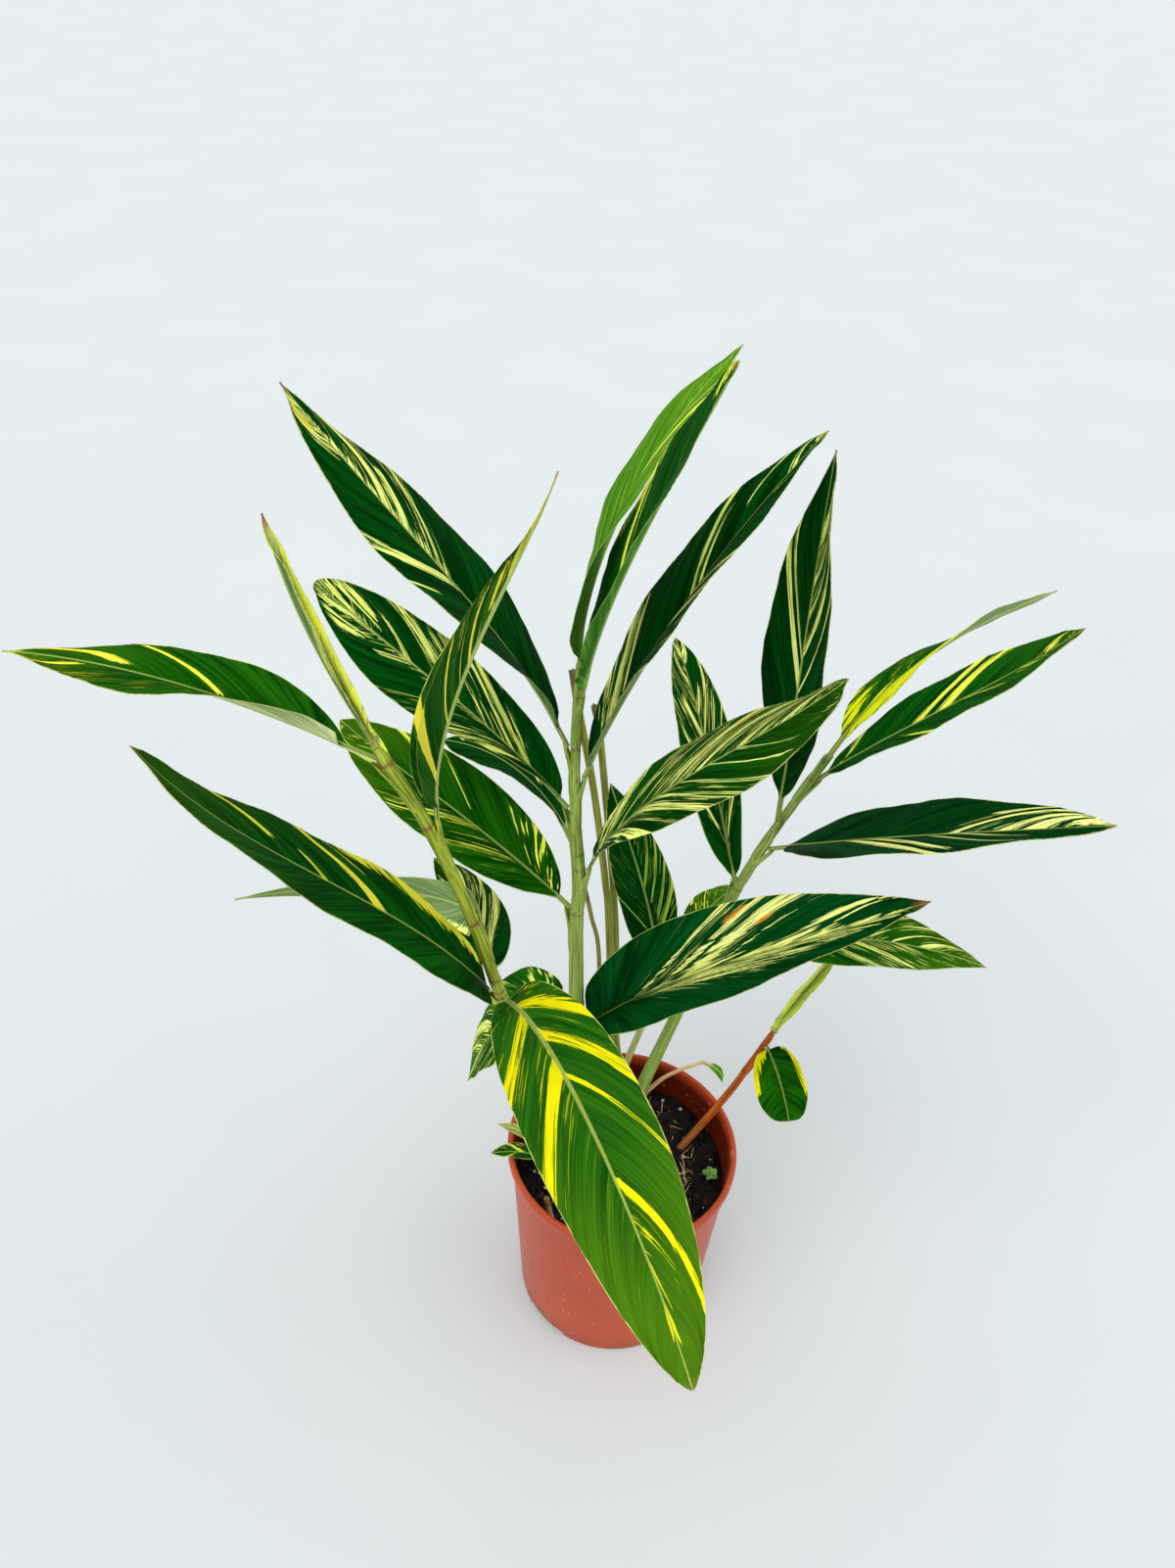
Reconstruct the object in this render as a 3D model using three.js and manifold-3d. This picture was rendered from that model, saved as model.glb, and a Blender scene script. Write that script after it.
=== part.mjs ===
// Potted variegated shell ginger: leafy canes rising from dark soil in a round plastic nursery pot.
// Millimetres and degrees, +Z up. The origin is the middle of the pot's flat underside.

import * as THREE from 'three';
import { mergeVertices } from 'three/addons/utils/BufferGeometryUtils.js';
import Module from 'manifold-3d';

const wasm = await Module();
wasm.setup();

// Driving sizes of the pot
const POT = {
  height: 165,
  rimRadius: 85,
  footRadius: 72,
  shoulderRadius: 81.5,
  wall: 2,
  rimBand: 8,
  floor: 3,
  corner: 7.5,
  cornerInner: 58,
  cornerSlope: 5,
  bevel: 1.2,
  sides: 48,
};
const RIM = { below: 2, flare: 0.8, rise: 2.5, shoulder: 2, round: 1.6, width: 4, dip: 0.4, tuck: 3 };
const POCKET = { count: 4, first: 226, width: 30, height: 5, inner: 62, steps: 6, overrun: 10 };
const DRAIN = { radius: 4, at: 66, length: 30, sides: 12 };

// Driving sizes of the soil
const SOIL = {
  level: 131,
  slope: 0.07,
  ripple: 1.6,
  rippleX: 9,
  rippleY: 11,
  startX: 1.3,
  startY: -0.6,
  shoulder: 12,
  sides: 36,
  rings: [0.93, 0.78, 0.62, 0.46, 0.3, 0.14],
};
const HOLE = { depth: 34, under: 2, above: 16, sides: 12, ease: 0.1, pin: 1.1, pinLength: 12 };
const CLEAR = 0.3;
const SOIL_CLEAR = 0.5;
const TIP_CLEAR = 1;

// Shared sizes of the blades: half thicknesses, widths at the two ends, and the ripple of the margins
const BLADE = {
  half: 0.4,
  rib: 0.55,
  stalkHalf: 0.9,
  stalkWidth: 3.2,
  tipWidth: 1.2,
  stalkShare: 0.08,
  endShare: 0.2,
  foldWidth: 6,
  thinning: 20,
  rollStart: 0.12,
  mitreLimit: 2.2,
  step: 15,
  fewest: 6,
  most: 16,
};
const WAVE = { height: 1, fullFrom: 60, turns: 3.2 };

// Shared sizes of the canes: spacing of their rings, and the ring that swells below each leaf
const CANE = { sides: 8, step: 18, taper: 1.3, swell: 0.14, below: 5, above: 3, near: 8, closest: 1.5 };
const TIP = 'tip';

// Canes: points up the middle of each, radius at the soil and at the top, colour
const CANES = {
  main: {
    path: [[-33, 16, 133], [-43, 12, 358], [-43, 11, 409], [-48, 10, 464], [-50, 8, 529], [-50, 8, 562]],
    radius: [6.6, 2.2],
    colour: 0x7f9a4e,
  },
  front: {
    path: [
      [-40, -8, 133], [-86, -56, 375], [-100, -63, 438], [-114, -69, 489], [-127, -74, 528], [-141, -79, 561],
    ],
    radius: [3.9, 3.4],
    colour: 0x9fae52,
  },
  right: {
    path: [[6, 42, 133], [15, 40, 186], [30, 38, 255], [58, 34, 385], [77, 31, 446], [98, 28, 503]],
    radius: [5, 2.2],
    colour: 0x8aa35a,
  },
  inner: {
    path: [[-8, 50, 133], [1, 48, 198], [10, 47, 243], [19, 47, 284], [27, 47, 323]],
    radius: [2.8, 2],
    colour: 0xb3bd7a,
  },
  young: {
    path: [[48, 22, 133], [66, 20, 179], [77, 19, 208], [86, 18, 236], [96, 17, 268]],
    radius: [3, 2.4],
    colour: 0xb5662c,
  },
  back_left: {
    path: [[-6, 58, 133], [-21, 45, 336], [-26, 44, 381], [-37, 42, 455], [-50, 40, 521], [-54, 40, 544]],
    radius: [2.5, 2.3],
    colour: 0x7d8a45,
  },
  back_right: {
    path: [[4, 62, 133], [-9, 58, 217], [-16, 55, 326], [-26, 54, 415], [-36, 52, 493], [-40, 52, 513]],
    radius: [2.5, 2.3],
    colour: 0x85914a,
  },
  thin: {
    path: [[-20, 56, 133], [-26, 40, 307], [-34, 36, 357], [-39, 34, 382]],
    radius: [1.6, 1.5],
    colour: 0x8c8a4c,
  },
  pale: {
    path: [[16, 54, 133], [18, 54, 152], [28, 51, 174], [38, 49, 187], [48, 47, 197], [58, 46, 204]],
    radius: [1.9, 1.3],
    colour: 0xd9b98e,
  },
  rim: {
    path: [[-50, -10, 133], [-53, -11, 148], [-57, -12, 164]],
    radius: [2.6, 2],
    colour: 0xc3c489,
  },
  stub: {
    path: [[-50, -44, 133], [-52, -45, 145], [-53, -46, 156]],
    radius: [2.4, 2.1],
    colour: 0xcfc7a0,
  },
};

// Leaves. at is the height of the leaf's foot on its cane, or TIP for a leaf that ends the cane.
// heading is the compass way it leaves (0 is +X, 90 is +Y), sweep how far that turns by the tip.
// rise is its first slope, droop and curl bend it down along the way, steadily and late.
// tilt rolls the blade about its rib and twist turns that from foot to tip.
// left and right fold each half up from flat, at the foot and at the tip. taper shapes foot and tip.
const DARK = 0x17472a;
const BRIGHT = 0x3f7d1e;
const PALE = 0x8fa96a;
const LEAVES = [
  { name: 'main_left_top', cane: 'main', at: 513, heading: 171, sweep: 0, rise: 64, droop: 51, curl: -39,
    length: 244, width: 70, stalk: 13, tilt: 0, twist: -25, taper: [0.85, 1.15], left: [34, -21],
    right: [19, -7], colour: DARK },
  { name: 'main_left_high', cane: 'main', at: 466, heading: 153, sweep: 1, rise: 38, droop: 37, curl: -28,
    length: 204, width: 53, stalk: 8, tilt: -20, twist: -60, taper: [0.5, 0.55], left: [54, -36],
    right: [22, 1], colour: DARK },
  { name: 'main_left_behind', cane: 'main', at: 433, heading: 117, sweep: 31, rise: 22, droop: 46, curl: -6,
    length: 144, width: 33, stalk: 15, tilt: 13, twist: -50, taper: [0.75, 0.75], left: [32, -14],
    right: [1, 11], colour: DARK },
  { name: 'main_left_low', cane: 'main', at: 383, heading: 142, sweep: 1, rise: 18, droop: 30, curl: -26,
    length: 220, width: 63, stalk: 11, tilt: -26, twist: 4, taper: [0.6, 0.75], left: [30, 11],
    right: [20, 13], colour: DARK },
  { name: 'main_left_foot', cane: 'main', at: 298, heading: 158, sweep: 2, rise: -35, droop: 49, curl: -2,
    length: 154, width: 68, stalk: 4, tilt: -25, twist: 9, taper: [0.55, 0.9], left: [13, 4],
    right: [11, 4], colour: BRIGHT },
  { name: 'crown_back', cane: 'main', at: TIP, heading: 28, sweep: 7, rise: 92, droop: 64, curl: -8,
    length: 194, width: 59, stalk: 9, tilt: -20, twist: 9, taper: [0.75, 0.95], left: [0, 2],
    right: [35, -2], colour: BRIGHT },
  { name: 'crown_front', cane: 'main', at: 548, heading: -54, sweep: 6, rise: 78, droop: 39, curl: -25,
    length: 227, width: 50, stalk: 9, tilt: 53, twist: -14, taper: [0.6, 0.65], left: [13, 5],
    right: [38, 9], colour: DARK },
  { name: 'main_right_high', cane: 'main', at: 491, heading: 0, sweep: 1, rise: 72, droop: 16, curl: 2,
    length: 239, width: 66, stalk: 10, tilt: 2, twist: 7, taper: [0.65, 0.85], left: [19, 14],
    right: [23, 10], colour: DARK },
  { name: 'main_right_mid', cane: 'main', at: 421, heading: -19, sweep: -5, rise: 71, droop: 72, curl: -55,
    length: 222, width: 65, stalk: 6, tilt: 13, twist: 11, taper: [0.75, 0.8], left: [24, -20],
    right: [20, -30], colour: BRIGHT },
  { name: 'main_right_low', cane: 'main', at: 275, heading: -16, sweep: -1, rise: 56, droop: 50, curl: -37,
    length: 269, width: 80, stalk: 4, tilt: 30, twist: -17, taper: [0.6, 0.95], left: [59, 27],
    right: [39, 30], colour: DARK },
  { name: 'front_drooping', cane: 'front', at: 375, heading: -69, sweep: 8, rise: 47, droop: 96, curl: -6,
    length: 275, width: 63, stalk: 10, tilt: 21, twist: -14, taper: [0.7, 0.7], left: [31, 4],
    right: [12, 7], colour: BRIGHT },
  { name: 'front_long', cane: 'front', at: 381, heading: 196, sweep: 25, rise: 60, droop: 53, curl: -59,
    length: 277, width: 76, stalk: 4, tilt: -4, twist: -11, taper: [0.32, 0.75], left: [8, 3],
    right: [4, 5], colour: DARK },
  { name: 'front_far', cane: 'front', at: 559, heading: 164, sweep: 9, rise: 13, droop: 1, curl: 16,
    length: 201, width: 51, stalk: 17, tilt: -10, twist: -21, taper: [0.85, 1.35], left: [88, -18],
    right: [24, -15], colour: BRIGHT },
  { name: 'front_furled', cane: 'front', at: TIP, heading: 168, sweep: 4, rise: 57, droop: -18, curl: -7,
    length: 130, width: 22, stalk: 4, tilt: -24, twist: 20, taper: [0.6, 0.9], left: [71, 79],
    right: [77, 77], colour: PALE },
  { name: 'front_folded', cane: 'front', at: 516, heading: 17, sweep: -26, rise: 93, droop: 74, curl: -53,
    length: 202, width: 34, stalk: 11, tilt: -2, twist: -53, taper: [0.65, 1.65], left: [65, 59],
    right: [59, 80], colour: PALE },
  { name: 'front_striped', cane: 'front', at: 392, heading: 97, sweep: 31, rise: -19, droop: -16, curl: 0,
    length: 147, width: 36, stalk: 6, tilt: -17, twist: 0, taper: [0.6, 0.8], left: [5, 5],
    right: [5, 5], colour: DARK },
  { name: 'front_pale_back', cane: 'front', at: 441, heading: 84, sweep: 131, rise: -45, droop: -46, curl: -10,
    length: 258, width: 34, stalk: 26, tilt: -82, twist: -19, taper: [0.35, 1.1], left: [10, 0],
    right: [30, 10], colour: PALE },
  { name: 'right_upright', cane: 'right', at: 451, heading: 231, sweep: -4, rise: 88, droop: 6, curl: -8,
    length: 240, width: 59, stalk: 21, tilt: -19, twist: -3, taper: [0.85, 1.1], left: [-8, -19],
    right: [-5, -12], colour: DARK },
  { name: 'right_twisted', cane: 'right', at: 501, heading: 49, sweep: -30, rise: 35, droop: 40, curl: -21,
    length: 187, width: 38, stalk: 15, tilt: -42, twist: -75, taper: [0.75, 1.15], left: [15, 8],
    right: [27, -5], colour: BRIGHT },
  { name: 'right_high', cane: 'right', at: 486, heading: -6, sweep: -9, rise: 48, droop: 22, curl: -27,
    length: 171, width: 50, stalk: 8, tilt: -1, twist: 11, taper: [0.7, 0.85], left: [11, 15],
    right: [13, 9], colour: DARK },
  { name: 'right_level', cane: 'right', at: 430, heading: -43, sweep: 22, rise: 37, droop: 11, curl: 3,
    length: 211, width: 63, stalk: 16, tilt: 1, twist: -2, taper: [0.55, 0.85], left: [8, 13],
    right: [11, 14], colour: DARK },
  { name: 'right_inner', cane: 'right', at: 392, heading: 109, sweep: -5, rise: 45, droop: 19, curl: 14,
    length: 185, width: 38, stalk: 5, tilt: -18, twist: 26, taper: [0.6, 0.75], left: [25, 23],
    right: [34, 12], colour: DARK },
  { name: 'right_low', cane: 'right', at: 328, heading: 3, sweep: -8, rise: 24, droop: 47, curl: -4,
    length: 190, width: 53, stalk: 16, tilt: 10, twist: 7, taper: [0.75, 1.05], left: [23, 6],
    right: [24, 0], colour: DARK },
  { name: 'inner_broad', cane: 'inner', at: 288, heading: 189, sweep: -6, rise: 86, droop: 34, curl: -21,
    length: 181, width: 40, stalk: 11, tilt: -64, twist: -9, taper: [0.65, 0.85], left: [15, -6],
    right: [24, 14], colour: DARK },
  { name: 'inner_small', cane: 'inner', at: 322, heading: 52, sweep: -3, rise: 30, droop: 43, curl: 2,
    length: 73, width: 29, stalk: 8, tilt: -13, twist: -3, taper: [0.7, 0.85], left: [18, 7],
    right: [20, 12], colour: BRIGHT },
  { name: 'young_drooping', cane: 'young', at: 262, heading: -80, sweep: 4, rise: 21, droop: 56, curl: 5,
    length: 60, width: 36, stalk: 4, tilt: 24, twist: 5, taper: [0.5, 0.35], left: [26, 17],
    right: [24, 8], colour: DARK },
  { name: 'young_furled', cane: 'young', at: TIP, heading: 26, sweep: 9, rise: 66, droop: 30, curl: -3,
    length: 84, width: 25, stalk: 4, tilt: 32, twist: 0, taper: [0.65, 0.75], left: [71, 69],
    right: [70, 68], colour: PALE },
  { name: 'pale_tiny', cane: 'pale', at: TIP, heading: -25, sweep: 10, rise: 5, droop: 95, curl: 0,
    length: 24, width: 9, stalk: 3, tilt: 0, twist: 0, taper: [0.7, 0.8], left: [15, 10],
    right: [15, 10], colour: BRIGHT },
  { name: 'rim_bract', cane: 'rim', at: TIP, heading: 178, sweep: 4, rise: 58, droop: 30, curl: 10,
    length: 44, width: 11, stalk: 3, tilt: 0, twist: 0, taper: [0.6, 0.8], left: [30, 15],
    right: [30, 15], colour: 0xd8d09a },
  { name: 'rim_small', cane: 'rim', at: 155, heading: 200, sweep: 0, rise: 48, droop: 30, curl: 10,
    length: 46, width: 15, stalk: 4, tilt: 0, twist: 0, taper: [0.65, 0.8], left: [22, 12],
    right: [22, 12], colour: BRIGHT },
];

// Seedling of a small weed with round leaves
const SEEDLING = {
  x: 68,
  y: -5,
  height: 8,
  root: 4,
  stem: 0.7,
  stemSides: 6,
  leaf: 3,
  leafSides: 10,
  reach: 3.2,
  count: 4,
  start: 0.5,
  thick: 0.9,
  lift: 0.12,
};

// Points nearer than WELD are one point, shares nearer than SAME are one share
const WELD = 1e-4;
const SAME = 1e-6;
const HALVINGS = 40;

const radians = THREE.MathUtils.degToRad;
const clamp = THREE.MathUtils.clamp;
const lerp = THREE.MathUtils.lerp;

// Solids for joining and cutting
function toSolid(geometry) {
  const bare = geometry.clone();
  bare.deleteAttribute('normal');
  bare.deleteAttribute('uv');
  const merged = mergeVertices(bare, WELD);
  const mesh = new wasm.Mesh({
    numProp: 3,
    vertProperties: new Float32Array(merged.attributes.position.array),
    triVerts: new Uint32Array(merged.index.array),
  });
  return new wasm.Manifold(mesh);
}

function toGeometry(solid) {
  const mesh = solid.getMesh();
  const geometry = new THREE.BufferGeometry();
  geometry.setAttribute('position', new THREE.BufferAttribute(new Float32Array(mesh.vertProperties), 3));
  geometry.setIndex(new THREE.BufferAttribute(new Uint32Array(mesh.triVerts), 1));
  geometry.computeVertexNormals();
  return geometry;
}

function meshOf(name, geometry, colour, roughness) {
  const material = new THREE.MeshStandardMaterial({ color: colour, roughness, metalness: 0 });
  const mesh = new THREE.Mesh(geometry, material);
  mesh.name = name;
  return mesh;
}

function upright(geometry) {
  return geometry.rotateX(Math.PI / 2);
}

// Cane middle lines, with the stretch that stands in the soil added below the first point
function caneCurve(cane) {
  const points = cane.path.map((p) => new THREE.Vector3(...p));
  const down = points[0].clone().sub(points[1]).normalize();
  const buried = points[0].clone().addScaledVector(down, HOLE.depth - HOLE.under);
  return new THREE.CatmullRomCurve3([buried, ...points], false, 'catmullrom', 0.5);
}

const curves = Object.fromEntries(Object.entries(CANES).map(([name, cane]) => [name, caneCurve(cane)]));

function shareAtHeight(curve, height) {
  let low = 0;
  let high = 1;
  for (let i = 0; i < HALVINGS; i += 1) {
    const middle = (low + high) / 2;
    if (curve.getPointAt(middle).z < height) low = middle;
    else high = middle;
  }
  return (low + high) / 2;
}

function caneRadius(name, share) {
  const cane = CANES[name];
  const start = shareAtHeight(curves[name], cane.path[0][2]);
  const way = clamp((share - start) / (1 - start), 0, 1);
  return lerp(cane.radius[0], cane.radius[1], way ** CANE.taper);
}

function nodeShares(name) {
  const leaves = LEAVES.filter((leaf) => leaf.cane === name && leaf.at !== TIP);
  return leaves.map((leaf) => shareAtHeight(curves[name], leaf.at));
}

// A cane is a round bar with a slight ring where each leaf leaves it
function caneGeometry(name) {
  const curve = curves[name];
  const length = curve.getLength();
  const steps = Math.max(4, Math.round(length / CANE.step));
  const nodes = nodeShares(name);
  const plain = Array.from({ length: steps + 1 }, (_, i) => i / steps);
  const far = (share) => nodes.every((node) => Math.abs(node - share) * length > CANE.near);
  const beside = nodes.flatMap((node) => [node - CANE.below / length, node, node + CANE.above / length]);
  const shares = [0, ...plain.slice(1, -1).filter(far), ...beside, 1];
  shares.sort((a, b) => a - b);
  const tidy = shares.filter((share, i) => i === 0 || share - shares[i - 1] > CANE.closest / length);
  const rings = tidy.map((share) => {
    const swell = nodes.some((node) => Math.abs(node - share) < SAME) ? 1 + CANE.swell : 1;
    return caneRing(curve, share, caneRadius(name, share) * swell);
  });
  return closedTube(rings);
}

function caneRing(curve, share, radius) {
  const centre = curve.getPointAt(Math.min(share, 1));
  const along = curve.getTangentAt(Math.min(share, 1));
  const east = new THREE.Vector3(1, 0, 0).addScaledVector(along, -along.x).normalize();
  const north = along.clone().cross(east);
  return Array.from({ length: CANE.sides }, (_, i) => {
    const turn = (2 * Math.PI * i) / CANE.sides;
    return centre.clone()
      .addScaledVector(east, radius * Math.cos(turn))
      .addScaledVector(north, radius * Math.sin(turn));
  });
}

function geometryFrom(points, faces) {
  const geometry = new THREE.BufferGeometry();
  const numbers = points.flatMap((p) => [p.x, p.y, p.z]);
  geometry.setAttribute('position', new THREE.Float32BufferAttribute(numbers, 3));
  geometry.setIndex(faces.flat());
  geometry.computeVertexNormals();
  return geometry;
}

function closedTube(rings) {
  const sides = rings[0].length;
  const faces = [];
  for (let i = 0; i + 1 < rings.length; i += 1) {
    for (let j = 0; j < sides; j += 1) {
      const a = i * sides + j;
      const b = i * sides + ((j + 1) % sides);
      faces.push([a, b, b + sides], [a, b + sides, a + sides]);
    }
  }
  const last = (rings.length - 1) * sides;
  for (let j = 1; j + 1 < sides; j += 1) {
    faces.push([0, j + 1, j], [last, last + j, last + j + 1]);
  }
  return geometryFrom(rings.flat(), faces);
}

// Direction, side and upper normal of a leaf at the share t of its length
function leafFrame(leaf, t) {
  const heading = radians(leaf.heading + leaf.sweep * t);
  const slope = radians(leaf.rise - leaf.droop * t - leaf.curl * t * t);
  const along = new THREE.Vector3(
    Math.cos(heading) * Math.cos(slope), Math.sin(heading) * Math.cos(slope), Math.sin(slope));
  const level = new THREE.Vector3(-Math.sin(heading), Math.cos(heading), 0);
  const roll = radians((leaf.tilt + leaf.twist * (t - 0.5)) * clamp(t / BLADE.rollStart, 0, 1));
  const side = level.applyAxisAngle(along, roll);
  const up = along.clone().cross(side);
  return { along, side, up };
}

function halfWidth(leaf, t) {
  const stalk = leaf.stalk / leaf.length;
  const u = clamp((t - stalk) / (1 - stalk), 0, 1);
  const [foot, tip] = leaf.taper;
  const peak = foot / (foot + tip);
  const shape = (u ** foot * (1 - u) ** tip) / (peak ** foot * (1 - peak) ** tip);
  const least = t < 0.5 ? BLADE.stalkWidth / 2 : BLADE.tipWidth / 2;
  return Math.max((leaf.width / 2) * shape, Math.min(least, leaf.width * BLADE.endShare));
}

// The foot of a leaf sits just clear of its cane's skin, or just above the cane's end
function leafStart(leaf) {
  const curve = curves[leaf.cane];
  const frame = leafFrame(leaf, 0);
  if (leaf.at === TIP) return curve.getPointAt(1).addScaledVector(frame.along, TIP_CLEAR);
  const share = shareAtHeight(curve, leaf.at);
  const stalk = BLADE.stalkHalf * Math.abs(frame.along.z);
  const reach = caneRadius(leaf.cane, share) * (1 + CANE.swell) + CLEAR + stalk;
  const out = new THREE.Vector3(Math.cos(radians(leaf.heading)), Math.sin(radians(leaf.heading)), 0);
  return curve.getPointAt(share).addScaledVector(out, reach);
}

const COLUMNS = [-1, -0.5, 0, 0.5, 1];

// The margins ripple up and down along a leaf, each side in its own time, and less on a narrow blade
function marginWave(leaf, t, v) {
  const height = WAVE.height * Math.min(1, leaf.width / WAVE.fullFrom);
  return height * v * v * Math.sin(2 * Math.PI * WAVE.turns * t + leaf.length + v);
}

function leafSection(leaf, t, centre) {
  const { side, up } = leafFrame(leaf, t);
  const half = halfWidth(leaf, t);
  const spread = clamp(half / BLADE.foldWidth, 0, 1) ** 2;
  const folds = [leaf.left, leaf.right].map(([foot, tip]) => radians(lerp(foot, tip, t)) * spread);
  const stalky = clamp(1 - (t * leaf.length - leaf.stalk) / BLADE.thinning, 0, 1);
  const thick = lerp(BLADE.half, Math.min(BLADE.stalkHalf, leaf.width * BLADE.stalkShare), stalky);
  const mitre = 1 / Math.max(1 / BLADE.mitreLimit, Math.cos((folds[0] + folds[1]) / 2));
  const top = [];
  const bottom = [];
  for (const v of COLUMNS) {
    const sign = v < 0 ? 1 : -1;
    const fold = v < 0 ? folds[0] : folds[1];
    const reach = Math.abs(v) * half;
    const normal = v === 0
      ? up.clone().multiplyScalar(mitre)
      : side.clone().multiplyScalar(-sign * Math.sin(fold)).addScaledVector(up, Math.cos(fold));
    const middle = centre.clone()
      .addScaledVector(side, sign * Math.cos(fold) * reach)
      .addScaledVector(up, Math.sin(fold) * reach)
      .addScaledVector(normal, marginWave(leaf, t, v) * spread);
    const depth = v === 0 ? Math.max(thick, BLADE.rib) : thick;
    top.push(middle.clone().addScaledVector(normal, thick));
    bottom.push(middle.clone().addScaledVector(normal, -depth));
  }
  return [...top, ...bottom];
}

function leafGeometry(leaf) {
  const steps = clamp(Math.round(leaf.length / BLADE.step), BLADE.fewest, BLADE.most);
  const sections = [];
  let centre = leafStart(leaf);
  for (let i = 0; i <= steps; i += 1) {
    sections.push(leafSection(leaf, i / steps, centre));
    const { along } = leafFrame(leaf, (i + 0.5) / steps);
    centre = centre.clone().addScaledVector(along, leaf.length / steps);
  }
  return closedStrip(sections, COLUMNS.length);
}

// Both faces of the strip are cut into triangles alike, so that a waved blade never crosses itself
function closedStrip(sections, columns) {
  const top = (i, j) => i * columns * 2 + j;
  const low = (i, j) => i * columns * 2 + columns + j;
  const faces = [];
  const quad = (a, b, c, d) => faces.push([a, b, c], [a, c, d]);
  const edge = columns - 1;
  for (let i = 0; i + 1 < sections.length; i += 1) {
    for (let j = 0; j < edge; j += 1) {
      quad(top(i, j), top(i, j + 1), top(i + 1, j + 1), top(i + 1, j));
      faces.push([low(i, j), low(i + 1, j + 1), low(i, j + 1)]);
      faces.push([low(i, j), low(i + 1, j), low(i + 1, j + 1)]);
    }
    quad(top(i, 0), top(i + 1, 0), low(i + 1, 0), low(i, 0));
    quad(top(i, edge), low(i, edge), low(i + 1, edge), top(i + 1, edge));
  }
  const end = sections.length - 1;
  for (let j = 0; j < edge; j += 1) {
    quad(top(0, j), low(0, j), low(0, j + 1), top(0, j + 1));
    quad(top(end, j), top(end, j + 1), low(end, j + 1), low(end, j));
  }
  return geometryFrom(sections.flat(), faces);
}

// Pot: one moulded shell with a rolled rim and pockets under the corner of its floor
function potInner(z) {
  return lerp(POT.footRadius, POT.shoulderRadius, z / (POT.height - POT.rimBand)) - POT.wall;
}

function potGeometry() {
  const { height, rimRadius, footRadius, shoulderRadius, bevel, floor, corner, cornerInner } = POT;
  const band = height - POT.rimBand;
  const profile = [
    [0, 0],
    [footRadius - bevel, 0],
    [footRadius, bevel],
    [shoulderRadius, band - RIM.below],
    [rimRadius - RIM.flare, band],
    [rimRadius, band + RIM.rise],
    [rimRadius, height - RIM.shoulder],
    [rimRadius - RIM.round, height],
    [rimRadius - RIM.width, height - RIM.dip],
    [potInner(band), band - RIM.tuck],
    [potInner(corner), corner],
    [cornerInner, corner],
    [cornerInner - POT.cornerSlope, floor],
    [0, floor],
  ].map(([r, z]) => new THREE.Vector2(r, z));
  let pot = toSolid(upright(new THREE.LatheGeometry(profile, POT.sides)));
  for (let i = 0; i < POCKET.count; i += 1) {
    const middle = POCKET.first + (360 * i) / POCKET.count;
    pot = pot.subtract(toSolid(pocketGeometry(middle)));
    const drain = upright(new THREE.CylinderGeometry(DRAIN.radius, DRAIN.radius, DRAIN.length, DRAIN.sides));
    const turn = radians(middle);
    drain.translate(DRAIN.at * Math.cos(turn), DRAIN.at * Math.sin(turn), 0);
    pot = pot.subtract(toSolid(drain));
  }
  return toGeometry(pot);
}

function pocketGeometry(middle) {
  const from = radians(middle - POCKET.width / 2);
  const to = radians(middle + POCKET.width / 2);
  const outline = new THREE.Shape();
  outline.absarc(0, 0, POT.footRadius + POCKET.overrun, from, to, false);
  outline.absarc(0, 0, POCKET.inner, to, from, true);
  const depth = POCKET.height + POCKET.overrun;
  const settings = { depth, bevelEnabled: false, curveSegments: POCKET.steps };
  return new THREE.ExtrudeGeometry(outline, settings).translate(0, 0, -POCKET.overrun);
}

// Soil: fills the pot to a low uneven top, with a plain hole for every stem
function soilTop(x, y) {
  const ripple = Math.sin(x / SOIL.rippleX + SOIL.startX) * Math.cos(y / SOIL.rippleY + SOIL.startY);
  return SOIL.level + SOIL.slope * y + SOIL.ripple * ripple;
}

function soilGeometry() {
  const { floor, corner, cornerInner, cornerSlope } = POT;
  const { level, shoulder } = SOIL;
  const side = (z) => potInner(z) - SOIL_CLEAR;
  const profile = [
    [0, floor + CLEAR],
    [cornerInner - cornerSlope - 2 * SOIL_CLEAR, floor + CLEAR],
    [cornerInner - SOIL_CLEAR, corner + CLEAR],
    [side(corner + SOIL_CLEAR), corner + 2 * SOIL_CLEAR],
    [side(level - shoulder), level - shoulder],
    [side(level), level],
    ...SOIL.rings.map((share) => [share * side(level), level]),
    [0, level],
  ].map(([r, z]) => new THREE.Vector2(r, z));
  const geometry = upright(new THREE.LatheGeometry(profile, SOIL.sides));
  const place = geometry.attributes.position;
  for (let i = 0; i < place.count; i += 1) {
    if (place.getZ(i) < level - CLEAR) continue;
    place.setZ(i, soilTop(place.getX(i), place.getY(i)));
  }
  let soil = toSolid(geometry);
  for (const name of Object.keys(CANES)) soil = soil.subtract(toSolid(holeGeometry(name)));
  const pin = upright(new THREE.CylinderGeometry(HOLE.pin, HOLE.pin, HOLE.pinLength, HOLE.sides));
  soil = soil.subtract(toSolid(pin.translate(SEEDLING.x, SEEDLING.y, soilTop(SEEDLING.x, SEEDLING.y))));
  return toGeometry(soil);
}

function holeGeometry(name) {
  const cane = CANES[name];
  const [first, second] = cane.path.slice(0, 2).map((p) => new THREE.Vector3(...p));
  const along = second.clone().sub(first).normalize();
  const radius = (cane.radius[0] + CLEAR) / Math.cos(Math.PI / HOLE.sides) + HOLE.ease;
  const hole = new THREE.CylinderGeometry(radius, radius, HOLE.depth + HOLE.above, HOLE.sides);
  hole.translate(0, (HOLE.above - HOLE.depth) / 2, 0);
  hole.applyQuaternion(new THREE.Quaternion().setFromUnitVectors(new THREE.Vector3(0, 1, 0), along));
  return hole.translate(first.x, first.y, first.z);
}

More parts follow.
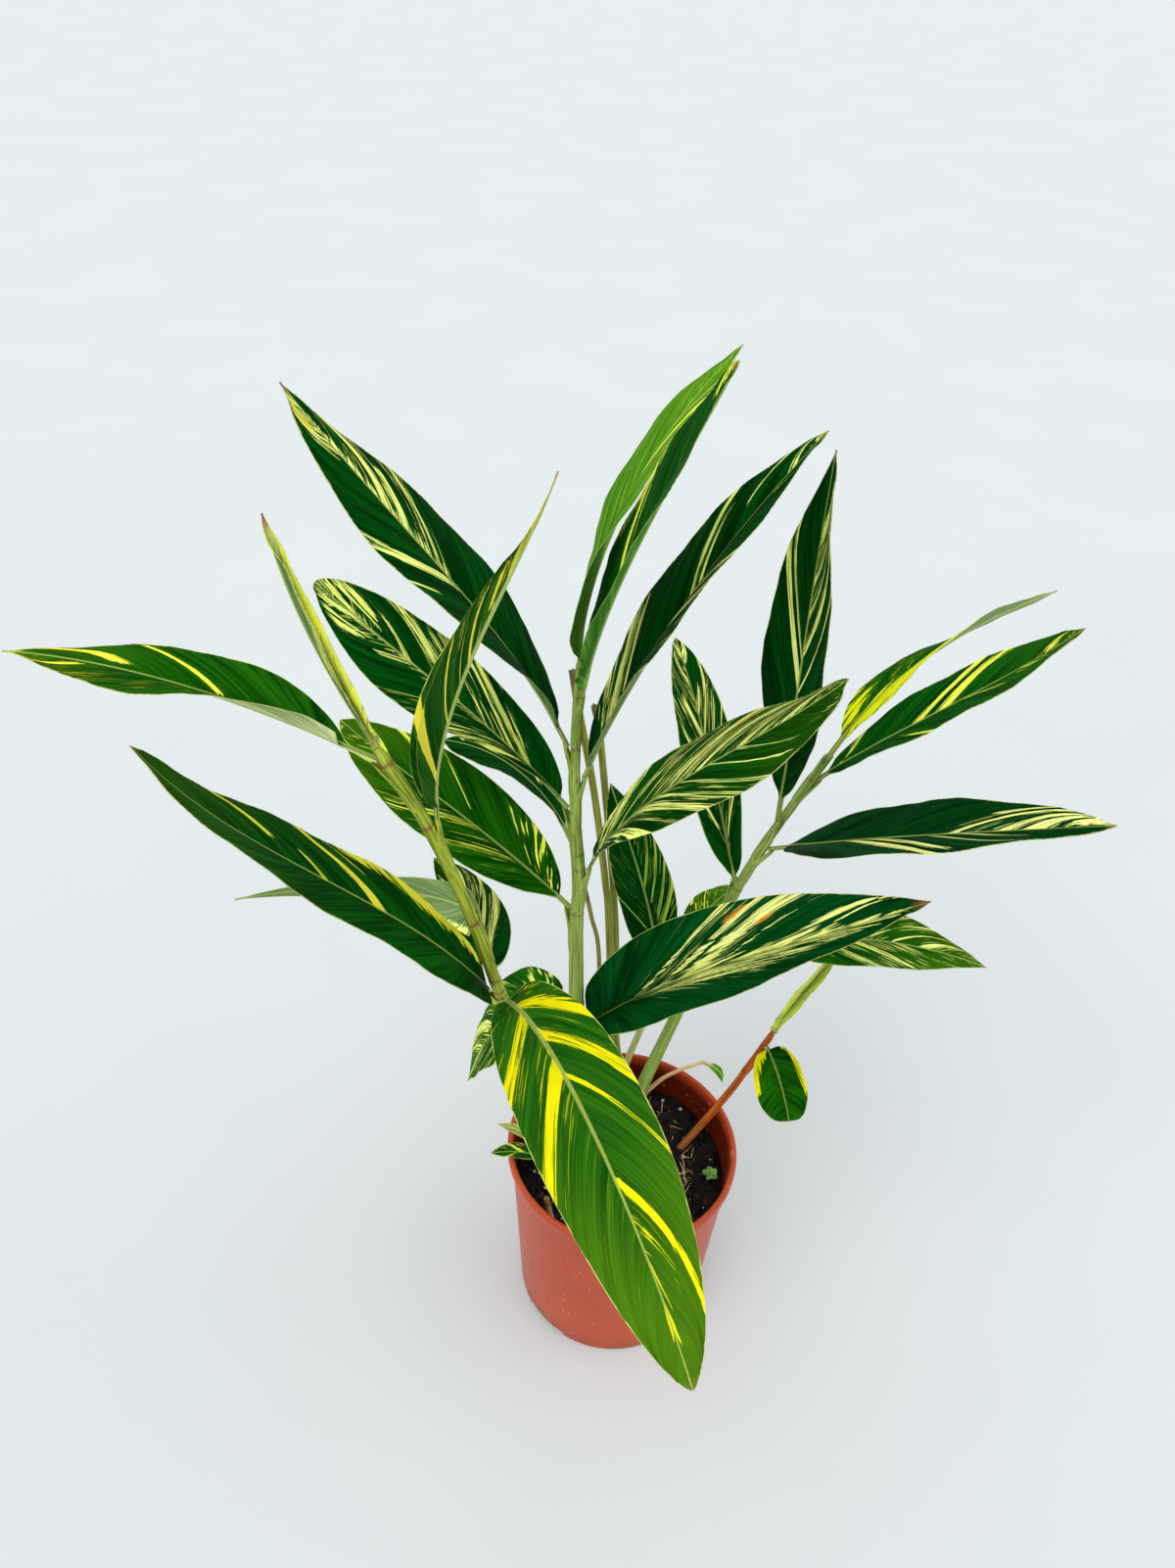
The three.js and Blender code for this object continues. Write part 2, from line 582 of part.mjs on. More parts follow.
function seedlingGeometry() {
  const { x, y, height, root, stem, leaf, reach, count, thick, lift } = SEEDLING;
  const stalk = upright(new THREE.CylinderGeometry(stem, stem, height + root, SEEDLING.stemSides));
  let plant = toSolid(stalk.translate(0, 0, (height - root) / 2));
  for (let i = 0; i < count; i += 1) {
    const turn = (2 * Math.PI * i) / count + SEEDLING.start;
    const round = upright(new THREE.CylinderGeometry(leaf, leaf, thick, SEEDLING.leafSides));
    round.rotateX(lift * (i - (count - 1) / 2));
    round.translate(reach * Math.cos(turn), reach * Math.sin(turn), height + lift * i);
    plant = plant.add(toSolid(round));
  }
  return toGeometry(plant).translate(x, y, soilTop(x, y));
}

// The whole plant in its pot
const plant = new THREE.Group();
plant.add(meshOf('pot', potGeometry(), 0xb5573a, 0.45));
plant.add(meshOf('soil', soilGeometry(), 0x1c1714, 0.95));
for (const [name, cane] of Object.entries(CANES)) {
  plant.add(meshOf(`cane_${name}`, caneGeometry(name), cane.colour, 0.5));
}
for (const leaf of LEAVES) {
  plant.add(meshOf(`leaf_${leaf.name}`, leafGeometry(leaf), leaf.colour, 0.4));
}
plant.add(meshOf('seedling', seedlingGeometry(), 0x4c8a35, 0.6));

export default plant;
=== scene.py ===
# Looks of a potted variegated shell ginger: striped blades, sheathed canes, potting mix and a plastic pot.
# Sizes are worked out in millimetres, as in the solids, and become metres when a mesh is made.

import math
import random

import bmesh
import bpy
import numpy as np
from mathutils import Matrix, Vector


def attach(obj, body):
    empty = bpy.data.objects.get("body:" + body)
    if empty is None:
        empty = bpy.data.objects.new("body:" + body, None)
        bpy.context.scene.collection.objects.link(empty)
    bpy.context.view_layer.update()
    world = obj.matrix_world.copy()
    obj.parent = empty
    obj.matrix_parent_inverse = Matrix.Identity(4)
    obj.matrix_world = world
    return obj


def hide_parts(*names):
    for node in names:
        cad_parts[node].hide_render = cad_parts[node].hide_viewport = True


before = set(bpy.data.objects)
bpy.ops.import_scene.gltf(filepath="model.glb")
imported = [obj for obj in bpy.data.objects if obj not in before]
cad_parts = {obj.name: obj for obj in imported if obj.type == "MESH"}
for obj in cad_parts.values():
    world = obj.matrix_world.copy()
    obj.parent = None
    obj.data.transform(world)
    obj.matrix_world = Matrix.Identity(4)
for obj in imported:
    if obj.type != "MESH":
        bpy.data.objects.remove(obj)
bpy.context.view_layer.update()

MM = 0.001
BODY = "root"


def srgb(red, green, blue):
    """A screen colour, 0 to 255 a channel, as the linear colour that shaders take."""
    def linear(c):
        c /= 255
        return c / 12.92 if c <= 0.04045 else ((c + 0.055) / 1.055) ** 2.4
    return (linear(red), linear(green), linear(blue), 1)


# Shapes that the solids have too
POT = dict(height=165, rim=85, foot=72, shoulder=81.5, wall=2, band=8, floor=3, corner=7.5, corner_in=58)
POCKET = dict(count=4, first=226, width=30, height=5, inner=62, drain=4, drain_at=66)
HOLE_DEPTH = 34
SWELL = 0.14
FOLD_WIDTH = 6
STALK_HALF = 0.9
STALK_WIDTH = 3.2
TIP_WIDTH = 1.2
THINNING = 20
ROLL_START = 0.12
CANE_TAPER = 1.3
WAVE_HEIGHT = 1
FULL_WAVE = 60
WAVE_TURNS = 3.2
TIP = "tip"

CANES = {
    "main": ([[-33, 16, 133], [-43, 12, 358], [-43, 11, 409], [-48, 10, 464], [-50, 8, 529], [-50, 8, 562]],
             (6.6, 2.2)),
    "front": ([[-40, -8, 133], [-86, -56, 375], [-100, -63, 438], [-114, -69, 489], [-127, -74, 528],
               [-141, -79, 561]], (3.9, 3.4)),
    "right": ([[6, 42, 133], [15, 40, 186], [30, 38, 255], [58, 34, 385], [77, 31, 446], [98, 28, 503]],
              (5, 2.2)),
    "inner": ([[-8, 50, 133], [1, 48, 198], [10, 47, 243], [19, 47, 284], [27, 47, 323]], (2.8, 2)),
    "young": ([[48, 22, 133], [66, 20, 179], [77, 19, 208], [86, 18, 236], [96, 17, 268]], (3, 2.4)),
    "back_left": ([[-6, 58, 133], [-21, 45, 336], [-26, 44, 381], [-37, 42, 455], [-50, 40, 521],
                   [-54, 40, 544]], (2.5, 2.3)),
    "back_right": ([[4, 62, 133], [-9, 58, 217], [-16, 55, 326], [-26, 54, 415], [-36, 52, 493],
                    [-40, 52, 513]], (2.5, 2.3)),
    "thin": ([[-20, 56, 133], [-26, 40, 307], [-34, 36, 357], [-39, 34, 382]], (1.6, 1.5)),
    "pale": ([[16, 54, 133], [18, 54, 152], [28, 51, 174], [38, 49, 187], [48, 47, 197], [58, 46, 204]],
             (1.9, 1.3)),
    "rim": ([[-50, -10, 133], [-53, -11, 148], [-57, -12, 164]], (2.6, 2)),
    "stub": ([[-50, -44, 133], [-52, -45, 145], [-53, -46, 156]], (2.4, 2.1)),
}

LEAF_FIELDS = ("name cane at heading sweep rise droop curl length width stalk tilt twist foot tip "
               "left_foot left_tip right_foot right_tip").split()
LEAF_ROWS = [
    ("main_left_top", "main", 513, 171, 0, 64, 51, -39, 244, 70, 13, 0, -25, 0.85, 1.15, 34, -21, 19, -7),
    ("main_left_high", "main", 466, 153, 1, 38, 37, -28, 204, 53, 8, -20, -60, 0.5, 0.55, 54, -36, 22, 1),
    ("main_left_behind", "main", 433, 117, 31, 22, 46, -6, 144, 33, 15, 13, -50, 0.75, 0.75, 32, -14, 1, 11),
    ("main_left_low", "main", 383, 142, 1, 18, 30, -26, 220, 63, 11, -26, 4, 0.6, 0.75, 30, 11, 20, 13),
    ("main_left_foot", "main", 298, 158, 2, -35, 49, -2, 154, 68, 4, -25, 9, 0.55, 0.9, 13, 4, 11, 4),
    ("crown_back", "main", TIP, 28, 7, 92, 64, -8, 194, 59, 9, -20, 9, 0.75, 0.95, 0, 2, 35, -2),
    ("crown_front", "main", 548, -54, 6, 78, 39, -25, 227, 50, 9, 53, -14, 0.6, 0.65, 13, 5, 38, 9),
    ("main_right_high", "main", 491, 0, 1, 72, 16, 2, 239, 66, 10, 2, 7, 0.65, 0.85, 19, 14, 23, 10),
    ("main_right_mid", "main", 421, -19, -5, 71, 72, -55, 222, 65, 6, 13, 11, 0.75, 0.8, 24, -20, 20, -30),
    ("main_right_low", "main", 275, -16, -1, 56, 50, -37, 269, 80, 4, 30, -17, 0.6, 0.95, 59, 27, 39, 30),
    ("front_drooping", "front", 375, -69, 8, 47, 96, -6, 275, 63, 10, 21, -14, 0.7, 0.7, 31, 4, 12, 7),
    ("front_long", "front", 381, 196, 25, 60, 53, -59, 277, 76, 4, -4, -11, 0.32, 0.75, 8, 3, 4, 5),
    ("front_far", "front", 559, 164, 9, 13, 1, 16, 201, 51, 17, -10, -21, 0.85, 1.35, 88, -18, 24, -15),
    ("front_furled", "front", TIP, 168, 4, 57, -18, -7, 130, 22, 4, -24, 20, 0.6, 0.9, 71, 79, 77, 77),
    ("front_folded", "front", 516, 17, -26, 93, 74, -53, 202, 34, 11, -2, -53, 0.65, 1.65, 65, 59, 59, 80),
    ("front_striped", "front", 392, 97, 31, -19, -16, 0, 147, 36, 6, -17, 0, 0.6, 0.8, 5, 5, 5, 5),
    ("front_pale_back", "front", 441, 84, 131, -45, -46, -10, 258, 34, 26, -82, -19, 0.35, 1.1, 10, 0, 30, 10),
    ("right_upright", "right", 451, 231, -4, 88, 6, -8, 240, 59, 21, -19, -3, 0.85, 1.1, -8, -19, -5, -12),
    ("right_twisted", "right", 501, 49, -30, 35, 40, -21, 187, 38, 15, -42, -75, 0.75, 1.15, 15, 8, 27, -5),
    ("right_high", "right", 486, -6, -9, 48, 22, -27, 171, 50, 8, -1, 11, 0.7, 0.85, 11, 15, 13, 9),
    ("right_level", "right", 430, -43, 22, 37, 11, 3, 211, 63, 16, 1, -2, 0.55, 0.85, 8, 13, 11, 14),
    ("right_inner", "right", 392, 109, -5, 45, 19, 14, 185, 38, 5, -18, 26, 0.6, 0.75, 25, 23, 34, 12),
    ("right_low", "right", 328, 3, -8, 24, 47, -4, 190, 53, 16, 10, 7, 0.75, 1.05, 23, 6, 24, 0),
    ("inner_broad", "inner", 288, 189, -6, 86, 34, -21, 181, 40, 11, -64, -9, 0.65, 0.85, 15, -6, 24, 14),
    ("inner_small", "inner", 322, 52, -3, 30, 43, 2, 73, 29, 8, -13, -3, 0.7, 0.85, 18, 7, 20, 12),
    ("young_drooping", "young", 262, -80, 4, 21, 56, 5, 60, 36, 4, 24, 5, 0.5, 0.35, 26, 17, 24, 8),
    ("young_furled", "young", TIP, 26, 9, 66, 30, -3, 84, 25, 4, 32, 0, 0.65, 0.75, 71, 69, 70, 68),
    ("pale_tiny", "pale", TIP, -25, 10, 5, 95, 0, 24, 9, 3, 0, 0, 0.7, 0.8, 15, 10, 15, 10),
    ("rim_bract", "rim", TIP, 178, 4, 58, 30, 10, 44, 11, 3, 0, 0, 0.6, 0.8, 30, 15, 30, 15),
    ("rim_small", "rim", 155, 200, 0, 48, 30, 10, 46, 15, 4, 0, 0, 0.65, 0.8, 22, 12, 22, 12),
]
LEAVES = [dict(zip(LEAF_FIELDS, row)) for row in LEAF_ROWS]

# Greens of a blade: the darker and the lighter of its streaks, and the colours of its bands
DEEP = (srgb(0, 38, 6), srgb(3, 74, 14))
DUSKY = (srgb(0, 38, 9), srgb(4, 68, 22))
GREEN = (srgb(2, 52, 4), srgb(30, 96, 8))
BRIGHT = (srgb(22, 70, 6), srgb(76, 128, 24))
LIGHT = (srgb(42, 104, 10), srgb(96, 150, 34))
GREY = (srgb(84, 114, 58), srgb(140, 166, 106))
PALE = (srgb(120, 142, 56), srgb(196, 200, 116))
YELLOW = srgb(232, 220, 14)
LEMON = srgb(244, 248, 84)
CREAM = srgb(246, 252, 136)
# A darker copy of the cream for the bands of leaves on the left of the plant: painted shade.
SHADED_CREAM = srgb(228, 236, 118)

# What holds where a leaf doesn't say otherwise. mark is the colour of the bands, run how far the veins slant
# towards the tip and the power of their bend, and cover scales what bands and patches cover. beam gives the
# places near the rib and the tip where streaks lie along the rib. The painted glow is how much painted light
# brightens the tip as if it were lit through; pale and dry are how pale the underside is and how dry the tip
# is.
# rib is the breadth of the pale rib against the usual.
# beneath and beneath_mark colour the underside, scorch the spots, and flip shows the underside above.
PLAIN_LOOK = dict(slot="leaf_dark", greens=DEEP, mark=CREAM, run=(0.26, 1.1), cover=1, beam=None, painted_glow=0,
    pale=0, dry=0.12, rib=1, rib_colour=None, beneath=None, beneath_mark=None, scorch=srgb(214, 130, 40),
    flip=False, bands=(), patches=(), fine=(), spots=())

# Each leaf's own look. A first number of -1 or 1 is the left or the right half of the blade.
# bands: place where the band leaves the rib and half its breadth, in thousandths of the blade, then start
# and end across in hundredths of the way from the rib to the margin, and share covered in hundredths.
# patches and fine: from and to along the rib, from and to across, and strength, all in hundredths.
# spots: place along the rib and place across as shares, and size.
LOOKS = {
    "front_drooping": dict(slot="leaf_bright", greens=(srgb(14, 68, 10), srgb(44, 102, 16)), mark=YELLOW,
        run=(0.24, 1.15), cover=0.9, beam=(0.08, 0.76), painted_glow=0.32, rib=1.6, rib_colour=srgb(170, 186, 88),
        bands=[(-1, 105, 20, 10, 100, 100), (-1, 265, 24, 0, 100, 110), (-1, 405, 8, 0, 100, 100),
        (-1, 645, 18, 0, 100, 115), (-1, 720, 12, 15, 60, 50), (1, 165, 34, 10, 100, 100),
        (1, 378, 30, 0, 100, 105), (1, 325, 10, 5, 50, 55)], patches=[(-1, 78, 99, 0, 6, 75),
        (1, 84, 99, 0, 4, 60), (-1, 0, 6, 70, 100, 60)], fine=[(-1, 2, 30, 0, 100, 30),
        (1, 2, 50, 0, 100, 30), (-1, 60, 85, 0, 50, 40), (1, 50, 80, 0, 80, 25)]),
    "front_long": dict(greens=(srgb(0, 42, 4), srgb(8, 84, 12)), mark=srgb(236, 230, 62), run=(0.2, 1.15),
        painted_glow=0.08, bands=[(1, 350, 18, 0, 97, 110), (1, 500, 8, 0, 30, 70), (1, 580, 12, 40, 100, 90),
        (1, 280, 6, 60, 100, 60)], patches=[(1, 0, 13, 66, 100, 110), (1, 10, 24, 90, 100, 110)]),
    "front_far": dict(slot="leaf_bright", greens=GREEN, mark=srgb(246, 232, 70), run=(0.29, 1.1), painted_glow=0.12,
        beneath=(srgb(154, 180, 106), srgb(226, 230, 176)), bands=[(1, 360, 11, 12, 90, 115),
        (1, 610, 35, 25, 100, 110), (-1, 740, 24, 20, 100, 100)], patches=[(1, 64, 100, 90, 100, 90),
        (1, 90, 100, 40, 100, 70), (-1, 78, 100, 85, 100, 90)], fine=[(-1, 25, 90, 20, 100, 35),
        (1, 10, 50, 0, 100, 12)]),
    "front_folded": dict(slot="leaf_pale", greens=(srgb(8, 58, 8), srgb(44, 98, 18)),
        mark=srgb(242, 230, 60), beam=(-1, 0.6), painted_glow=0.1, beneath=(srgb(8, 54, 10), srgb(44, 92, 26)),
        beneath_mark=srgb(234, 222, 70), bands=[(-1, 90, 14, 10, 100, 110), (1, 90, 14, 10, 100, 110),
        (-1, 265, 9, 0, 90, 110), (1, 265, 9, 0, 90, 110), (-1, 450, 12, 0, 80, 90),
        (1, 450, 12, 0, 80, 90)], patches=[(-1, 50, 100, 75, 100, 90), (-1, 56, 100, 0, 100, 62),
        (1, 56, 100, 0, 100, 62)], fine=[(-1, 30, 80, 0, 100, 40), (1, 30, 80, 0, 100, 40)]),
    "front_furled": dict(slot="leaf_pale", greens=PALE, mark=LEMON, dry=0.9,
        bands=[(1, 450, 80, 30, 100, 90), (-1, 300, 100, 30, 100, 90)], patches=[(1, 0, 100, 70, 100, 80),
        (-1, 0, 100, 75, 100, 70)]),
    "main_left_foot": dict(slot="leaf_bright", greens=GREEN, mark=SHADED_CREAM, run=(0.32, 1.05), cover=0.75,
        painted_glow=0.2, bands=[(-1, 120, 22, 10, 100, 80), (-1, 320, 20, 0, 100, 80), (1, 300, 20, 10, 100, 80),
        (1, 500, 60, 20, 100, 100), (1, 700, 30, 0, 100, 90), (-1, 620, 40, 20, 100, 100)],
        fine=[(-1, 0, 80, 0, 100, 45), (1, 0, 80, 0, 100, 50)], spots=[(1, 0.23, 0.7, 3)]),
    "main_left_top": dict(run=(0.23, 1), cover=0.7, dry=0.3, scorch=srgb(206, 186, 50),
        bands=[(-1, 300, 8, 75, 100, 70), (-1, 420, 24, 10, 100, 95), (-1, 780, 8, 20, 90, 80),
        (1, 490, 20, 10, 100, 95), (1, 590, 14, 0, 60, 95), (1, 660, 28, 0, 95, 105),
        (1, 730, 10, 0, 80, 90)], patches=[(-1, 81, 96, 0, 100, 80), (1, 45, 92, 0, 6, 100)],
        fine=[(1, 44, 85, 0, 100, 35)], spots=[(-1, 0.86, 0.5, 9), (-1, 0.92, 0.6, 7)]),
    "main_left_high": dict(mark=SHADED_CREAM, run=(0.32, 1), cover=0.7, beam=(0.04, 0.74),
        bands=[(1, 130, 26, 5, 100, 100), (1, 190, 20, 5, 90, 100), (1, 300, 12, 0, 30, 90),
        (1, 440, 40, 20, 100, 85), (1, 620, 20, 0, 50, 80), (-1, 90, 30, 30, 100, 75),
        (-1, 600, 30, 0, 30, 70)], patches=[(-1, 30, 98, 0, 6, 70), (1, 70, 100, 10, 100, 62),
        (-1, 70, 100, 10, 70, 55)], fine=[(1, 8, 50, 0, 100, 48), (-1, 6, 36, 30, 100, 45),
        (1, 60, 100, 0, 100, 40), (-1, 65, 100, 0, 100, 40)], spots=[(1, 0.13, 0.35, 3)]),
    "main_left_behind": dict(run=(0.34, 1), cover=0.7, bands=[(1, 200, 40, 40, 100, 90),
        (1, 340, 40, 50, 100, 80), (1, 800, 40, 30, 90, 70)], fine=[(1, 15, 80, 40, 100, 40)]),
    "main_left_low": dict(greens=GREEN, mark=LEMON, run=(0.3, 1), cover=0.88, painted_glow=0.16,
        bands=[(-1, 150, 20, 15, 90, 50), (-1, 360, 35, 0, 90, 50), (-1, 700, 60, 30, 100, 115),
        (1, 340, 10, 30, 90, 50), (1, 500, 20, 40, 100, 70), (1, 785, 34, 10, 100, 120)],
        fine=[(1, 0, 10, 10, 100, 75), (-1, 5, 50, 10, 100, 35), (-1, 78, 100, 0, 100, 50)],
        spots=[(1, 0.05, 0.85, 1.7)]),
    "crown_back": dict(slot="leaf_bright", greens=LIGHT, mark=LEMON, run=(0.42, 1), painted_glow=0.12,
        beneath=(srgb(84, 164, 38), srgb(140, 208, 74)), bands=[(1, 530, 30, 0, 100, 115),
        (1, 700, 10, 0, 100, 80)], fine=[(1, 0, 100, 0, 100, 30), (-1, 0, 100, 0, 100, 30)]),
    "crown_front": dict(greens=(srgb(0, 50, 5), srgb(22, 90, 12)), mark=LEMON, run=(0.26, 1), cover=0.85,
        beneath=(srgb(40, 104, 24), srgb(104, 164, 66)), bands=[(-1, 340, 18, 5, 100, 100),
        (-1, 400, 6, 5, 90, 80)], patches=[(-1, 86, 100, 30, 100, 80), (-1, 15, 45, 93, 100, 80)]),
    "main_right_high": dict(run=(0.24, 1), cover=0.8, pale=0.3, bands=[(-1, 70, 12, 30, 100, 70),
        (-1, 135, 34, 5, 97, 105), (-1, 200, 12, 20, 90, 80), (-1, 530, 16, 0, 100, 100),
        (-1, 570, 8, 0, 70, 60), (-1, 680, 10, 40, 100, 95), (-1, 890, 18, 5, 95, 100),
        (1, 400, 20, 10, 100, 85), (1, 480, 14, 0, 100, 90), (1, 800, 14, 30, 100, 70),
        (1, 160, 16, 40, 100, 80)], patches=[(-1, 95, 100, 0, 90, 80)], fine=[(-1, 3, 26, 10, 100, 38),
        (1, 5, 50, 30, 100, 34)]),
    "main_right_mid": dict(slot="leaf_bright", greens=(srgb(0, 42, 4), srgb(12, 80, 10)), run=(0.31, 1),
        cover=0.7, painted_glow=0.06, bands=[(1, 90, 12, 10, 100, 85), (1, 250, 30, 10, 100, 95),
        (1, 330, 16, 10, 100, 95), (1, 420, 10, 10, 100, 95), (1, 540, 8, 0, 80, 95),
        (1, 640, 8, 0, 60, 90), (-1, 60, 30, 0, 100, 75), (-1, 380, 22, 10, 100, 95),
        (-1, 500, 22, 0, 100, 90), (-1, 650, 20, 0, 100, 90), (-1, 800, 20, 0, 100, 85)],
        fine=[(-1, 0, 100, 0, 100, 58), (1, 15, 40, 0, 100, 50), (1, 0, 20, 0, 100, 45),
        (1, 70, 100, 50, 100, 35)], spots=[(-1, 0.4, 0.8, 4), (-1, 0.38, 0.4, 3)]),
    "main_right_low": dict(greens=(srgb(0, 46, 10), srgb(6, 78, 28)), mark=srgb(246, 250, 146),
        run=(0.4, 0.72), cover=0.74, beam=(0.48, 0.8), dry=0.5, bands=[(-1, 145, 12, 10, 100, 95),
        (-1, 235, 18, 0, 100, 100), (-1, 310, 32, 0, 100, 110), (-1, 400, 8, 10, 60, 80),
        (-1, 590, 45, 0, 100, 115), (-1, 690, 12, 10, 100, 100)], patches=[(1, 16, 95, 0, 28, 86),
        (-1, 15, 97, 0, 7, 100), (1, 30, 95, 20, 50, 62)], fine=[(-1, 10, 40, 0, 100, 40),
        (1, 10, 50, 0, 60, 40)], spots=[(-1, 0.215, 0.8, 4), (-1, 0.34, 0.6, 3)]),
    "right_upright": dict(run=(0.36, 1), cover=0.82, flip=True, bands=[(-1, 350, 9, 0, 100, 95),
        (-1, 470, 20, 0, 100, 100), (-1, 570, 18, 0, 100, 95), (-1, 670, 22, 0, 100, 95),
        (-1, 780, 34, 10, 100, 100), (1, 375, 25, 0, 100, 110), (1, 450, 14, 0, 100, 90)],
        fine=[(-1, 40, 85, 0, 100, 36)]),
    "right_twisted": dict(slot="leaf_bright", greens=GREEN, mark=srgb(232, 238, 20), cover=0.9,
        beam=(1.2, 0), painted_glow=0.3, pale=0.6, patches=[(1, 0, 42, 6, 100, 110), (-1, 0, 10, 20, 100, 80),
        (-1, 5, 35, 0, 8, 80)], fine=[(-1, 0, 40, 0, 100, 35)]),
    "right_high": dict(greens=(srgb(0, 50, 8), srgb(16, 90, 14)), mark=srgb(246, 244, 84), run=(0.28, 1.05),
        cover=0.92, painted_glow=0.06, bands=[(-1, 370, 24, 0, 100, 110), (-1, 465, 28, 0, 100, 100),
        (-1, 50, 12, 10, 100, 70), (-1, 860, 30, 10, 70, 70), (1, 550, 22, 10, 50, 70),
        (1, 760, 14, 0, 30, 90), (1, 170, 12, 50, 100, 70)], fine=[(1, 65, 100, 20, 100, 40),
        (-1, 80, 100, 0, 100, 40)]),
    "right_level": dict(greens=DUSKY, mark=srgb(252, 254, 150), run=(0.34, 1), cover=0.84, beam=(0.03, 0.9),
        bands=[(-1, 500, 16, 60, 100, 90), (-1, 560, 16, 0, 100, 90), (-1, 700, 30, 0, 100, 100),
        (-1, 790, 35, 0, 100, 105), (-1, 900, 20, 20, 100, 90), (1, 220, 30, 10, 100, 90),
        (1, 310, 24, 0, 80, 90), (1, 470, 14, 20, 90, 70), (1, 580, 12, 0, 60, 90)],
        patches=[(-1, 84, 100, 30, 100, 80)], fine=[(-1, 50, 100, 0, 100, 42)], spots=[(1, 0.25, 0.4, 3)]),
    "right_inner": dict(run=(0.34, 1), cover=0.72, bands=[(1, 100, 10, 20, 100, 70),
        (1, 300, 14, 10, 100, 70), (1, 400, 16, 20, 80, 80), (1, 520, 20, 10, 100, 100),
        (1, 630, 35, 0, 30, 100), (1, 880, 40, 10, 100, 95), (-1, 100, 14, 20, 100, 70),
        (-1, 300, 14, 10, 100, 70), (-1, 500, 30, 0, 50, 70), (-1, 750, 50, 10, 80, 80),
        (-1, 900, 30, 10, 90, 90)], fine=[(1, 5, 60, 0, 100, 40), (-1, 5, 100, 0, 100, 42)]),
    "right_low": dict(greens=GREEN, run=(0.28, 1), cover=0.76, painted_glow=0.15, bands=[(-1, 160, 20, 0, 100, 100),
        (-1, 220, 8, 0, 100, 90), (-1, 410, 8, 0, 100, 105), (-1, 500, 8, 10, 100, 80),
        (-1, 600, 8, 10, 100, 80), (-1, 730, 30, 0, 90, 90), (1, 260, 30, 10, 100, 75),
        (1, 420, 30, 0, 90, 80), (1, 620, 20, 0, 60, 80)], fine=[(-1, 30, 100, 0, 100, 42),
        (1, 15, 95, 0, 100, 42)]),
    "inner_broad": dict(mark=srgb(168, 200, 72), run=(0.36, 1), cover=0.8, bands=[(-1, 160, 6, 40, 100, 90),
        (-1, 320, 8, 20, 100, 70), (1, 120, 20, 30, 100, 70), (1, 220, 20, 30, 100, 80),
        (1, 340, 20, 20, 100, 80), (1, 460, 20, 10, 100, 80)], fine=[(1, 5, 85, 20, 100, 50),
        (-1, 10, 70, 20, 100, 30)]),
    "inner_small": dict(slot="leaf_bright", greens=BRIGHT, mark=LEMON, run=(0.3, 1), cover=0.8, painted_glow=0.2,
        bands=[(-1, 350, 30, 10, 100, 60), (1, 200, 60, 20, 90, 100)], fine=[(-1, 0, 80, 0, 100, 40)],
        spots=[(1, 0.18, 0.5, 6)]),
    "young_drooping": dict(greens=GREEN, mark=YELLOW, run=(0.26, 1), beam=(1.2, 0),
        patches=[(-1, 4, 50, 92, 100, 110), (1, 0, 10, 40, 100, 110), (1, 6, 40, 80, 100, 110)]),
    "young_furled": dict(slot="leaf_pale", greens=(srgb(150, 176, 92), srgb(214, 224, 136)), mark=LEMON,
        run=(0.26, 1), beneath=(srgb(168, 190, 116), srgb(222, 230, 160)),
        patches=[(-1, 0, 55, 35, 100, 62), (1, 0, 90, 75, 100, 80), (-1, 40, 100, 85, 100, 80)]),
    "front_striped": dict(run=(0.34, 1), cover=0.85, painted_glow=0.05, bands=[(1, 200, 45, 0, 100, 110),
        (1, 360, 30, 0, 100, 100), (1, 660, 40, 20, 100, 110)], patches=[(-1, 20, 70, 30, 70, 75)],
        fine=[(1, 10, 60, 0, 100, 60)], spots=[(1, 0.14, 0.08, 4)]),
    "front_pale_back": dict(slot="leaf_pale", greens=GREY, patches=[(-1, 0, 50, 75, 100, 70)]),
    "pale_tiny": dict(slot="leaf_bright", greens=LIGHT, mark=LEMON),
    "rim_bract": dict(slot="leaf_pale", greens=PALE, dry=0.6),
    "rim_small": dict(slot="leaf_bright", greens=GREEN, mark=LEMON, run=(0.3, 1.1),
        bands=[(1, 400, 50, 0, 100, 90), (-1, 500, 40, 20, 100, 80)], fine=[(1, 0, 100, 0, 100, 40)]),
}

# Units of the numbers of a band, and the strongest that a colour ramp has to carry
BAND_UNITS = (1000, 1000, 100, 100, 100)
BAND_TOP = 1.5
# Steps in noise space between two leaves and between the halves of a leaf
LEAF_STEP = 11.3
HALF_STEP = 37


# Procedural surfaces
def scaled(colour, by):
    return tuple(c * by for c in colour[:3]) + (1,)


def between(a, b, share):
    return tuple(x + (y - x) * share for x, y in zip(a, b))


